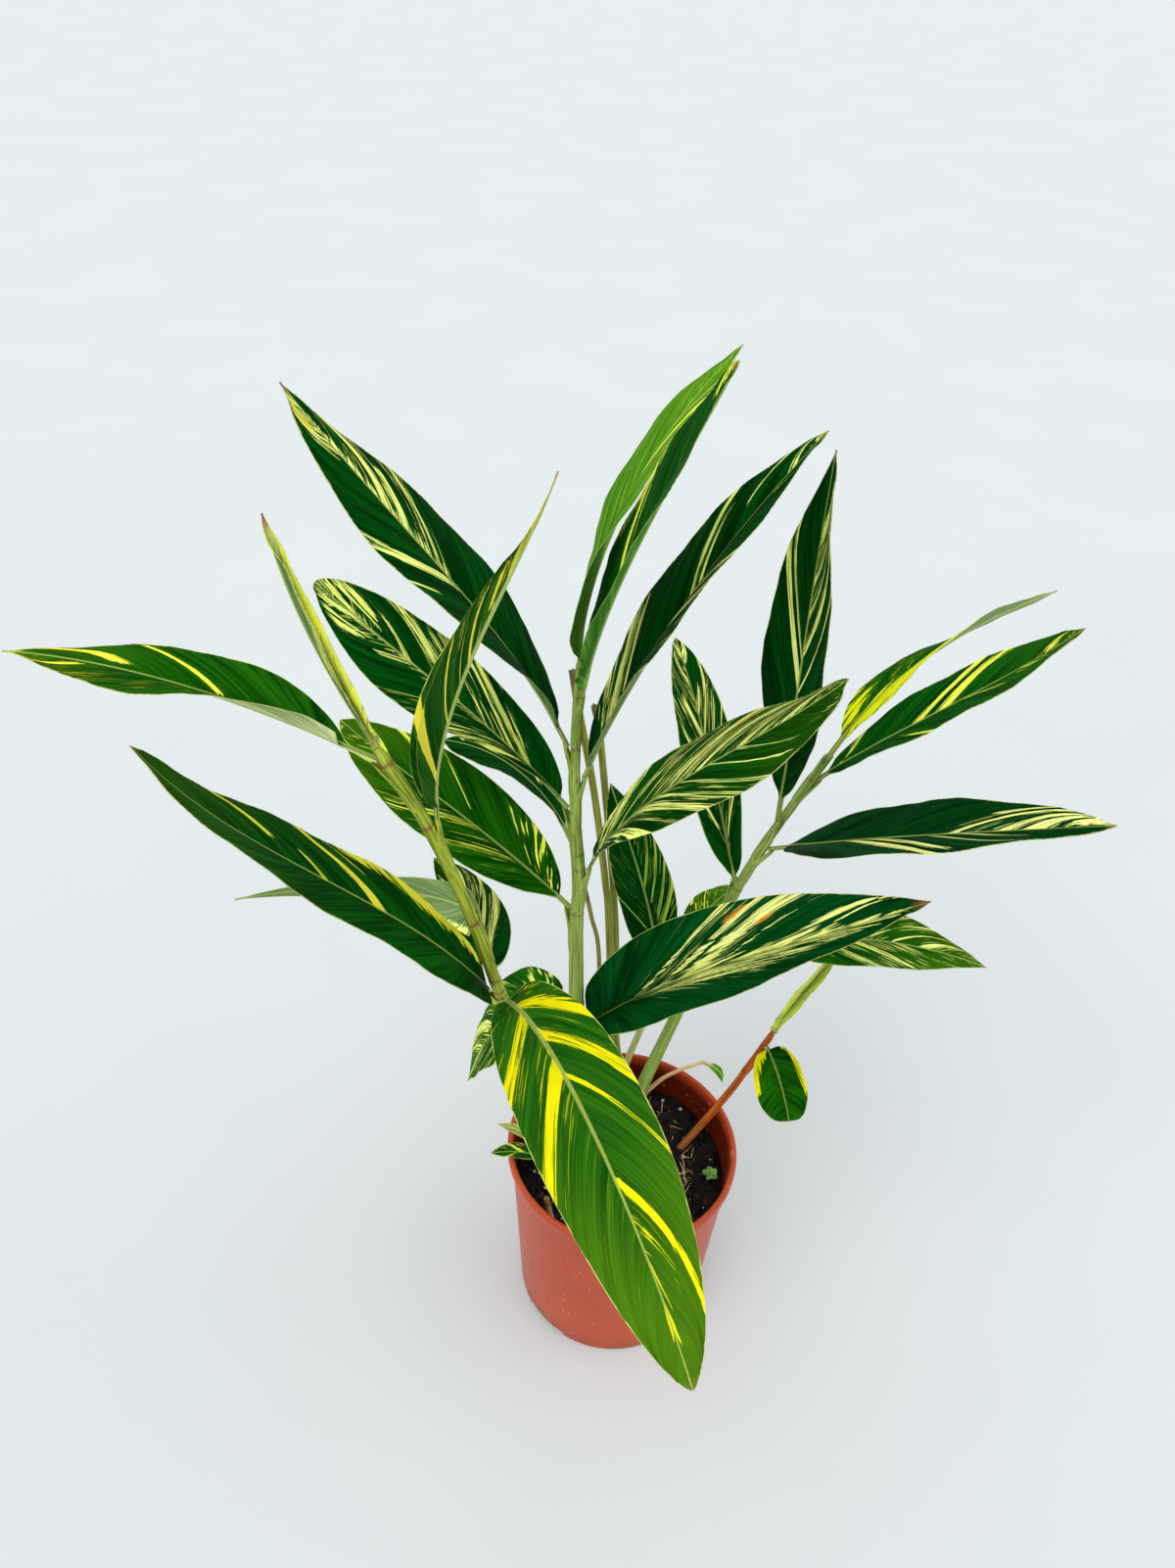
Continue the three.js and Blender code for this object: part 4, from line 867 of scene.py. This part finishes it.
# Canes: rolled sheaths, each a little wider at its top than the next one that comes out of it.
# For each two colours, strength of the brown line at its nodes, colour of a dry cut top, slot.
CANE_LOOKS = {
    "main": (srgb(104, 134, 48), srgb(158, 178, 84), 0.6, None, "cane"),
    "front": (srgb(100, 124, 24), srgb(178, 188, 64), 0.8, None, "cane"),
    "right": (srgb(104, 136, 54), srgb(160, 182, 92), 0.6, None, "cane"),
    "inner": (srgb(150, 160, 78), srgb(208, 208, 138), 0.4, None, "cane"),
    "young": (srgb(134, 56, 12), srgb(194, 100, 32), 0.3, None, "cane_young"),
    "back_left": (srgb(112, 114, 34), srgb(168, 166, 72), 0.5, srgb(120, 108, 92), "cane"),
    "back_right": (srgb(104, 116, 34), srgb(164, 166, 74), 0.5, srgb(112, 92, 66), "cane"),
    "thin": (srgb(116, 112, 40), srgb(168, 160, 76), 0.4, srgb(112, 90, 66), "cane"),
    "pale": (srgb(200, 150, 96), srgb(236, 204, 150), 0.3, None, "cane_pale"),
    "rim": (srgb(172, 174, 96), srgb(220, 214, 146), 0.3, None, "cane_pale"),
    "stub": (srgb(190, 178, 116), srgb(228, 214, 160), 0.3, srgb(150, 116, 72), "cane_pale"),
}
cane_paints = {name: cane_paint(f"cane_{name}", *look[:4]) for name, look in CANE_LOOKS.items()}
CANE_SIDES = 24
# The pattern of fibres runs this much slower along a cane than round it
FIBRE_RUN = 0.06
# A distance to the next node, or to the cut top, that is too far to show
FAR = 99
# A gap between leaves that is longer than the first gets sheath ends too, one for each length of the second
LONG_SHEATH, SHEATH = 70, 62


def sheath_ends(name, line, rng):
    """Shares of a cane's length where leaves stand, and where sheaths end, also in gaps between leaves."""
    nodes = sorted(line.share_at(leaf["at"]) for leaf in LEAVES if leaf["cane"] == name and leaf["at"] != TIP)
    bare = []
    low = line.start
    for node in [*nodes, 1.0]:
        gap = (node - low) * line.length
        if gap > LONG_SHEATH:
            count = int(gap / SHEATH)
            step = (node - low) / (count + 0.6)
            bare += [low + step * (k + 0.6 + 0.2 * rng.random()) for k in range(count)]
        low = node
    return nodes, sorted([*nodes, *[share for share in bare if share < 0.97]])


def cane_shares(line, ends):
    """Shares of a cane's length that get a ring of points, closer together where a sheath ends."""
    plain = np.arange(0, line.length, 3.0) / line.length
    steps = [end + step / line.length for end in ends for step in (-6, -3, -1.2, 0, 0.25, 1.2, 3)]
    shares = np.array(sorted({round(float(share), 6) for share in [*plain, *steps, 1.0] if 0 <= share <= 1}))
    return shares[np.concatenate([[True], np.diff(shares) * line.length > 0.12])]


def cane_radii(name, line, nodes, ends, shares, turns):
    """Radius of each point: sheaths that widen to their ends, more at a node, and not quite round."""
    below = np.array([max([0.0, *[end for end in ends if end < share - 1e-7]]) for share in shares])
    above = np.array([min([1.0, *[end for end in ends if end >= share - 1e-7]]) for share in shares])
    way = (shares - below) / np.maximum(above - below, 1e-6)
    at_node = np.array([any(abs(end - node) < 1e-6 for node in nodes) for end in above])
    flare = 0.98 + np.where(at_node, 0.05, 0.025) * way**3
    lobes = 1 + 0.012 * np.sin(5 * turns + 2 * len(name)) + 0.008 * np.sin(9 * turns + 1)
    return (line.radius(shares) * flare)[:, None] * lobes


def cane_piece(name):
    line = lines[name]
    rng = random.Random(f"cane {name}")
    nodes, ends = sheath_ends(name, line, rng)
    shares = cane_shares(line, ends)
    turns = circle(CANE_SIDES)
    radius = cane_radii(name, line, nodes, ends, shares, turns)
    centre, along = line.at(shares), line.along(shares)
    east, north = ring_basis(along)
    near = np.minimum(abs(shares[:, None] - np.array([*nodes, 9])).min(1) * line.length, FAR)
    foot = np.maximum(centre[:, 2] - line.ground, 0)
    ways = [np.tile(way, (CANE_SIDES, 1)) for way in zip(near, (1 - shares) * line.length, foot)]
    rings, around = [], []
    for share, middle, reach, first, second in zip(shares, centre, radius, east, north):
        rings.append(ring(middle, first, second, reach, turns))
        run = np.full(CANE_SIDES, share * line.length * FIBRE_RUN)
        around.append(np.stack([reach * np.cos(turns), reach * np.sin(turns), run], -1))
    tip_leaf = [leaf for leaf in LEAVES if leaf["cane"] == name and leaf["at"] == TIP]
    if CANE_LOOKS[name][3]:
        rings[-1] += np.array([[rng.uniform(-0.8, 1.4)] for turn in turns]) * along[-1]
        for share, depth in ((0.72, 0.4), (0.4, -1.2)):
            rings.append(ring(centre[-1] + along[-1] * depth, east[-1], north[-1], share * radius[-1], turns))
            around.append(around[-1] * share)
    else:
        ahead = leaf_frame(tip_leaf[0], np.float64(0.02))[0] if tip_leaf else along[-1]
        steps = ((2.0, 0.93), (4.5, 0.8), (7.0, 0.66)) if tip_leaf else ((1.0, 0.86), (2.0, 0.6), (2.6, 0.3))
        for rise, share in steps:
            rings.append(ring(centre[-1] + ahead * rise, *ring_basis(ahead), share * radius[-1], turns))
            around.append(around[-1])
    ways += [ways[-1]] * (len(rings) - len(ways))
    attributes = (("around", np.vstack(around)), ("way", np.vstack(ways)))
    points, faces = np.vstack(rings), tube_faces(len(rings), CANE_SIDES)
    paint, slot = cane_paints[name], CANE_LOOKS[name][4]
    piece(f"stem_{name}", points, faces, paint, slot, (f"cane_{name}",), attributes, sharp=60)


for name in CANES:
    cane_piece(name)


# The top of a leaf's own sheath: its longest stretch, the radius where it holds the stalk, how far it rises
# with the stalk, and the half angles that it spans at its foot and at its top
SHEATH_TOP = 34
STALK_HOLD = 1.75
STALK_RISE = 3
WRAP_FOOT, WRAP_TOP = 118, 84
SHEATH_ROWS, SHEATH_COLUMNS = 22, 15


def sheath_piece(leaf):
    """It hugs the cane, opens at the node and closes round the leaf's stalk."""
    line = lines[leaf["cane"]]
    share = line.share_at(leaf["at"])
    drop = min(SHEATH_TOP, (share - line.start) * line.length * 0.6)
    start, stalk = leaf_start(leaf), leaf_frame(leaf, np.float64(0.02))[0]
    turn = math.radians(leaf["heading"])
    outer, inner, ways, around = [], [], [], []
    for up in np.linspace(0, 1, SHEATH_ROWS):
        bend = smooth(up, 0.45, 1.0)
        at = share + (up - 1) * drop / line.length
        axis = line.along(at)
        out = np.array([math.cos(turn), math.sin(turn), 0.0])
        out = unit(out - axis * out.dot(axis))
        aside = np.cross(axis, out)
        hug = line.radius(at) * 1.04 + 0.15
        radius = hug + (STALK_HOLD - hug) * bend
        centre = line.at(at)
        goal = start + stalk * STALK_RISE - out * 0.4
        offset = (goal - centre).dot(out) - 0.2
        centre = centre + out * offset * bend + axis * STALK_RISE * bend * max(0.0, stalk[2])
        places = np.linspace(-1, 1, SHEATH_COLUMNS)
        angles = math.radians(WRAP_FOOT + (WRAP_TOP - WRAP_FOOT) * up) * places
        lip = (0.38 * (1 - abs(places) ** 4) + 0.06) * min(1.0, 3 * up + 0.15)
        outer.append(ring(centre, out, aside, radius + lip, angles))
        inner.append(ring(centre, out, aside, radius - 0.25, angles))
        ways += [((1 - up) * drop, FAR, max(centre[2] - line.ground, 0))] * SHEATH_COLUMNS
        run = at * line.length * FIBRE_RUN
        around += [(math.cos(angle) * radius, math.sin(angle) * radius, run) for angle in angles]
    attributes = (("around", around * 2), ("way", ways * 2))
    paint, slot = cane_paints[leaf["cane"]], CANE_LOOKS[leaf["cane"]][4]
    points, faces = np.vstack([*outer, *inner]), sheet_faces(SHEATH_ROWS, SHEATH_COLUMNS)
    piece(f"sheath_{leaf['name']}", points, faces, paint, slot, (), attributes, sharp=60)


for leaf in LEAVES:
    if leaf["at"] != TIP:
        sheath_piece(leaf)


# Pot
def pot_inner(z):
    return POT["foot"] + (POT["shoulder"] - POT["foot"]) * z / (POT["height"] - POT["band"]) - POT["wall"]


def lathe(profile, sides):
    rings = [ring((0, 0, z), X_AXIS, Y_AXIS, r, circle(sides)) for r, z in profile]
    return np.vstack(rings), tube_faces(len(profile), sides)


def rounded(points, radius, steps=4):
    """A profile whose corners are rounded off."""
    out = [points[0]]
    for a, b, c in zip(points[:-2], points[1:-1], points[2:]):
        a, b, c = (np.array(p, float) for p in (a, b, c))
        start = b + unit(a - b) * min(radius, np.linalg.norm(a - b) * 0.48)
        end = b + unit(c - b) * min(radius, np.linalg.norm(c - b) * 0.48)
        t = np.linspace(0, 1, steps + 1)[:, None]
        out += list((1 - t) ** 2 * start + 2 * t * (1 - t) * b + t * t * end)
    return [*out, points[-1]]


def filled_in(profile, longest):
    """A profile with points added so that no stretch is much longer than the longest."""
    dense = [profile[0]]
    for start, end in zip(profile, profile[1:]):
        count = max(1, int(math.dist(start, end) / longest))
        dense += [(start[0] + (end[0] - start[0]) * k / count, start[1] + (end[1] - start[1]) * k / count)
                  for k in range(1, count + 1)]
    return dense


def wedge(middle, width, inner, outer, low, high, steps=10):
    """A ring sector, for the pockets under the pot."""
    turns = np.radians(np.linspace(middle - width / 2, middle + width / 2, steps + 1))
    loop = [(outer * math.cos(t), outer * math.sin(t)) for t in turns]
    loop += [(inner * math.cos(t), inner * math.sin(t)) for t in turns[::-1]]
    points = [(x, y, low) for x, y in loop] + [(x, y, high) for x, y in loop]
    n = len(loop)
    faces = [tuple(range(n - 1, -1, -1)), tuple(range(n, 2 * n))]
    faces += [(i, (i + 1) % n, (i + 1) % n + n, i + n) for i in range(n)]
    return points, faces


def pot_profile():
    height, band = POT["height"], POT["height"] - POT["band"]
    rim, foot, shoulder, floor = POT["rim"], POT["foot"], POT["shoulder"], POT["floor"]
    corner, corner_in = POT["corner"], POT["corner_in"]
    return [(0.01, 0), (foot - 1.2, 0), (foot, 1.2), (shoulder - 0.1, band - 2.2), (rim - 0.8, band),
            (rim, band + 1.6), (rim, height - 1.6), (rim - 1.6, height), (rim - 4, height - 0.4),
            (pot_inner(band), band - 3), (pot_inner(corner), corner), (corner_in, corner),
            (corner_in - 5, floor), (0.01, floor)]


def pot_cutters():
    """Solids for the pockets round the foot and the drain holes in them."""
    for number in range(POCKET["count"]):
        middle = POCKET["first"] + 360 * number / POCKET["count"]
        sizes = POCKET["width"], POCKET["inner"], POT["foot"] + 10, -20, POCKET["height"]
        yield new_object("cut", new_mesh("cut", *wedge(middle, *sizes)))
        turn = math.radians(middle)
        points, faces = lathe([(POCKET["drain"], -20), (POCKET["drain"], 15)], 28)
        points = points + POCKET["drain_at"] * np.array([math.cos(turn), math.sin(turn), 0])
        yield new_object("cut", new_mesh("cut", points, faces))


def pot_piece():
    profile = filled_in(rounded(pot_profile(), 1.5), 12)
    pot = new_object("pot_shell", new_mesh("pot_shell", *lathe(profile, 160)))
    cutters = list(pot_cutters())
    for cutter in cutters:
        modifier = pot.modifiers.new("cut", "BOOLEAN")
        modifier.operation = "DIFFERENCE"
        modifier.solver = "EXACT"
        modifier.object = cutter
    bpy.context.view_layer.update()
    depsgraph = bpy.context.evaluated_depsgraph_get()
    mesh = bpy.data.meshes.new_from_object(pot.evaluated_get(depsgraph))
    pot.modifiers.clear()
    pot.data = mesh
    for cutter in cutters:
        bpy.data.objects.remove(cutter)
    inside = mesh.attributes.new("inside", "FLOAT_VECTOR", "POINT")
    for n, vertex in enumerate(mesh.vertices):
        r, z = math.hypot(vertex.co.x, vertex.co.y) / MM, vertex.co.z / MM
        inner = z > POT["floor"] - 0.5 and r < pot_inner(min(z, POT["height"] - POT["band"])) + 0.9
        inside.data[n].vector = (float(inner), 0, 0)
    dress(pot, pot_paint(), "pot", ("pot",), sharp=40)


pot_piece()


# Potting mix
SOIL_LEVEL = 131
SOIL_CLEAR = 0.5
# How far from the middle lumps lie and straw reaches
LUMP_REACH = 73
STRAW_REACH = 73.5
LUMP_ROUGH = 0.22
lattice = np.random.default_rng(4).random((64, 64))


def value_noise(x, y, size):
    """Smooth random heights between 0 and 1, with bumps about as wide as the size."""
    x, y = np.asarray(x) / size + 17.3, np.asarray(y) / size + 9.1
    i, j = np.floor(x).astype(int), np.floor(y).astype(int)
    u, v = smooth(x - i, 0, 1), smooth(y - j, 0, 1)
    low = lattice[i % 64, j % 64] * (1 - u) + lattice[(i + 1) % 64, j % 64] * u
    high = lattice[i % 64, (j + 1) % 64] * (1 - u) + lattice[(i + 1) % 64, (j + 1) % 64] * u
    return low * (1 - v) + high * v


def soil_swell(x, y):
    return SOIL_LEVEL + 0.07 * y + 1.6 * np.sin(x / 9 + 1.3) * np.cos(y / 11 - 0.6)


def soil_height(x, y):
    lumps = 3.2 * (value_noise(x, y, 9) - 0.5) + 1.8 * (value_noise(x + 40, y, 4) - 0.5)
    crumbs = 1.5 * (value_noise(x, y + 70, 1.9) - 0.5) + 0.7 * (value_noise(x + 90, y, 1.0) - 0.5)
    return soil_swell(x, y) + lumps + crumbs


def soil_piece():
    rings, sides = 88, 300
    turns = circle(sides)
    side_low, side_high = 60, SOIL_LEVEL - 14
    profile = [(POT["corner_in"] - 6, POT["floor"] + 0.3),
               (pot_inner(9) - SOIL_CLEAR - 0.8, POT["corner"] + 0.6),
               (pot_inner(side_low) - SOIL_CLEAR, side_low), (pot_inner(side_high) - SOIL_CLEAR, side_high)]
    points = [ring((0, 0, z), X_AXIS, Y_AXIS, r, turns) for r, z in profile]
    for r in (pot_inner(SOIL_LEVEL) - SOIL_CLEAR) * np.linspace(0.004, 1, rings)[::-1]:
        top = ring((0, 0, 0), X_AXIS, Y_AXIS, r, turns)
        top[:, 2] = soil_height(top[:, 0], top[:, 1])
        points.append(top)
    faces = tube_faces(len(points), sides)
    paint = crumb_paint("potting_mix", srgb(7, 5, 4), srgb(30, 20, 15), 220, 0.0012, third=srgb(70, 50, 34))
    piece("potting_mix", np.vstack(points), faces, paint, "soil", ("soil",))


soil_piece()


def free_place(rng, reach, clear=2.5):
    """A random place on the soil that no cane stands in."""
    feet = [(path[0][0], path[0][1], radii[0]) for path, radii in CANES.values()]
    while True:
        r, turn = reach * math.sqrt(rng.random()), rng.uniform(0, 2 * math.pi)
        x, y = r * math.cos(turn), r * math.sin(turn)
        if all(math.hypot(x - a, y - b) > c + clear for a, b, c in feet):
            return x, y


def scatter(name, count, sizes, flat, seed, paint, sink=0.1):
    """Small irregular lumps lying in the top of the soil, as one mesh."""
    rng = random.Random(seed)
    lumps = bmesh.new()
    for _ in range(count):
        x, y = free_place(rng, LUMP_REACH)
        size = rng.uniform(*sizes)
        shape = Vector((size * rng.uniform(0.8, 1.5) * 0.5, size * 0.5, size * flat * 0.5))
        place = Vector((x, y, float(soil_height(x, y)) + size * flat * (0.5 - sink)))
        turn = Matrix.Rotation(rng.uniform(0, 6.28), 4, "Z") @ Matrix.Rotation(rng.uniform(-0.5, 0.5), 4, "X")
        made = bmesh.ops.create_icosphere(lumps, subdivisions=2 if size > 1.6 else 1, radius=1.0)
        wild = Vector((rng.uniform(0, 50), rng.uniform(0, 50), rng.uniform(0, 50)))
        for vertex in made["verts"]:
            p = vertex.co
            bump = math.sin(3.1 * p.x + wild.x) * math.sin(2.7 * p.y + wild.y) * math.sin(3.3 * p.z + wild.z)
            swell = 1 + LUMP_ROUGH * 2 * bump + rng.uniform(-LUMP_ROUGH, LUMP_ROUGH) * 0.4
            vertex.co = (turn @ (p * swell * shape) + place) * MM
    mesh = bpy.data.meshes.new(name)
    lumps.to_mesh(mesh)
    lumps.free()
    dress(new_object(name, mesh), paint, "soil", sharp=35)


grit = crumb_paint("perlite", srgb(196, 194, 186), srgb(238, 236, 228), 500, 0.0004, 0.75, 0.9)
bark = crumb_paint("bark_chips", srgb(18, 10, 7), srgb(52, 30, 19), 260, 0.0006, 0.6, 0.85, srgb(104, 74, 48))
peat = crumb_paint("peat_lumps", srgb(7, 5, 4), srgb(28, 18, 13), 300, 0.0008)
scatter("perlite", 105, (0.8, 2.6), 0.8, 11, grit, sink=0.25)
scatter("bark_chips", 170, (3, 8), 0.35, 23, bark)
scatter("peat_lumps", 320, (2, 6), 0.7, 37, peat)


def straw_piece():
    """Dry roots and straw lying over the soil."""
    rng = random.Random(58)
    points, faces = [], []
    sides, steps = 6, 12
    for _ in range(120):
        x, y = free_place(rng, 66.0, 3.5)
        turn = rng.uniform(0, 2 * math.pi)
        bend = rng.uniform(-0.9, 0.9)
        length = rng.uniform(9, 34)
        thick = rng.uniform(0.17, 0.36)
        track = []
        for k in range(steps + 1):
            track.append((x, y))
            x += math.cos(turn) * length / steps
            y += math.sin(turn) * length / steps
            turn += bend / steps
        if any(math.hypot(x, y) > STRAW_REACH for x, y in track):
            continue
        base = [float(soil_height(x, y)) for x, y in track]
        even = [np.mean(base[max(0, k - 2):k + 3]) for k in range(steps + 1)]
        lift = thick * 0.5 + 0.5
        track = np.array([(x, y, max(a, b - 0.3) + lift) for (x, y), a, b in zip(track, even, base)])
        along = unit(np.gradient(track, axis=0))
        side = unit(np.cross(along, Z_AXIS))
        up = np.cross(side, along)
        faces += [tuple(n + sides * len(points) for n in face) for face in tube_faces(steps + 1, sides)]
        for k in range(steps + 1):
            radius = thick * (1 - 0.55 * abs(2 * k / steps - 1) ** 3)
            points.append(ring(track[k], side[k], up[k], radius, circle(sides)))
    paint = crumb_paint("straw", srgb(182, 148, 100), srgb(234, 212, 164), 240, 0.0002, 0.55, 0.8)
    piece("straw", np.vstack(points), faces, paint, "soil")


straw_piece()


# Seedling of a small weed
SEEDLING_AT = (68.0, -5.0)
SEEDLING_RINGS, SEEDLING_SIDES = 9, 20


def seedling_leaf(number, top):
    """Points of a round leaf's upper and lower skin, ring by ring, and where each lies from its middle."""
    turn = 2 * math.pi * number / 5 + 0.5
    out = unit(np.array([math.cos(turn), math.sin(turn), 0.22 - 0.1 * (number % 2)]))
    across = unit(np.cross(Z_AXIS, out))
    up = np.cross(out, across)
    size = 2.7 - 0.25 * (number % 2)
    centre = top - 0.25 * number * Z_AXIS + out * (3.0 + 0.5 * (number % 3))
    points, places = [], []
    for skin, lift in ((0, 0.22), (1, -0.2)):
        for r in np.linspace(0, 1, SEEDLING_RINGS):
            for a in circle(SEEDLING_SIDES):
                notch = 1 - 0.1 * max(0.0, math.cos(a)) ** 8
                u, v = size * r * notch * math.cos(a), size * 0.92 * r * math.sin(a)
                cup = 0.5 * r * r + 0.1 * math.sin(5 * a) * r
                points.append(centre + out * u + across * v + up * (cup + lift * (1 - 0.5 * r)))
                places.append((r, skin, 1))
    return points, places


def seedling_leaf_faces(first):
    count = SEEDLING_RINGS * SEEDLING_SIDES
    upper, lower, rim = [], [], []
    for i in range(SEEDLING_RINGS):
        for j in range(SEEDLING_SIDES):
            a, b = (first + i * SEEDLING_SIDES + k % SEEDLING_SIDES for k in (j, j + 1))
            if i < SEEDLING_RINGS - 1:
                upper.append((a, a + SEEDLING_SIDES, b + SEEDLING_SIDES, b))
                lower.append(tuple(n + count for n in upper[-1][::-1]))
            else:
                rim.append((a, a + count, b + count, b))
    return [*upper, *lower, *rim]


def seedling_piece():
    x, y = SEEDLING_AT
    ground = soil_swell(x, y)
    track = [np.array([x + 0.5 * math.sin(k / 3), y + 0.2 * k / 6, ground - 3 + k * 1.25]) for k in range(9)]
    sides = 8
    stalk = [ring(place, X_AXIS, Y_AXIS, 0.62 - 0.02 * k, circle(sides)) for k, place in enumerate(track)]
    points = [point for rings in stalk for point in rings]
    tint = [(0, 0, 0)] * len(points)
    faces = tube_faces(len(track), sides)
    for number in range(5):
        faces += seedling_leaf_faces(len(points))
        leaf_points, places = seedling_leaf(number, track[-1])
        points += leaf_points
        tint += places
    piece("weed", points, faces, seedling_paint(), "seedling", ("seedling",), (("tint", tint),), sharp=50)


seedling_piece()


# Floor, light and camera
def stage_floor():
    reach = 60
    mesh = bpy.data.meshes.new("floor")
    corners = [(-reach, -reach, 0), (reach, -reach, 0), (reach, reach, 0), (-reach, reach, 0)]
    mesh.from_pydata(corners, [], [(0, 1, 2, 3)])
    paint = Paint("floor")
    cloud = paint.noise(paint.place(), 3.0)
    colour = paint.tint(srgb(202, 206, 206), srgb(204, 208, 208), cloud, 0.3, 0.7)
    rough = paint.step(cloud, 0.2, 0.8, 0.76, 0.8)
    mesh.materials.append(paint.finish(colour, rough, cloud, 0.0001, 0.02, Specular_IOR_Level=0.1))
    floor = new_object("floor", mesh)


stage_floor()


def stage_light(name, direction, strength, angle):
    light = bpy.data.lights.new(name, "SUN")
    light.energy = strength
    light.angle = math.radians(angle)
    made = new_object(name, light)
    made.rotation_euler = Vector(direction).to_track_quat("Z", "Y").to_euler()


stage_light("key", (-0.5, -0.75, 0.9), 1.2, 50)
stage_light("fill", (0.8, -0.2, 0.7), 0.45, 60)
world = bpy.data.worlds.new("studio")
world.use_nodes = True
world.node_tree.nodes["Background"].inputs[0].default_value = (0.95, 0.98, 1.0, 1)
world.node_tree.nodes["Background"].inputs[1].default_value = 1.03
bpy.context.scene.world = world
bpy.context.scene.view_settings.view_transform = "Standard"

CAMERA_AT = (-41.6, -539.8, 900.3)
CAMERA_DOWN = math.radians(36.98)
CAMERA_ROLL = math.radians(3.42)
LENS = 27.05
camera_data = bpy.data.cameras.new("camera")
camera_data.lens = LENS
camera_data.sensor_width = 36
camera_data.sensor_fit = "AUTO"
camera_data.clip_start = 0.01
camera_data.clip_end = 200
camera = new_object("camera", camera_data)
ahead = Vector((0, math.cos(CAMERA_DOWN), -math.sin(CAMERA_DOWN)))
above = Vector((0, math.sin(CAMERA_DOWN), math.cos(CAMERA_DOWN)))
beside = Vector((1, 0, 0))
right = beside * math.cos(CAMERA_ROLL) + above * math.sin(CAMERA_ROLL)
top = above * math.cos(CAMERA_ROLL) - beside * math.sin(CAMERA_ROLL)
pose = Matrix((right, top, -ahead)).transposed().to_4x4()
pose.translation = Vector(CAMERA_AT) * MM
camera.matrix_world = pose
bpy.context.scene.camera = camera
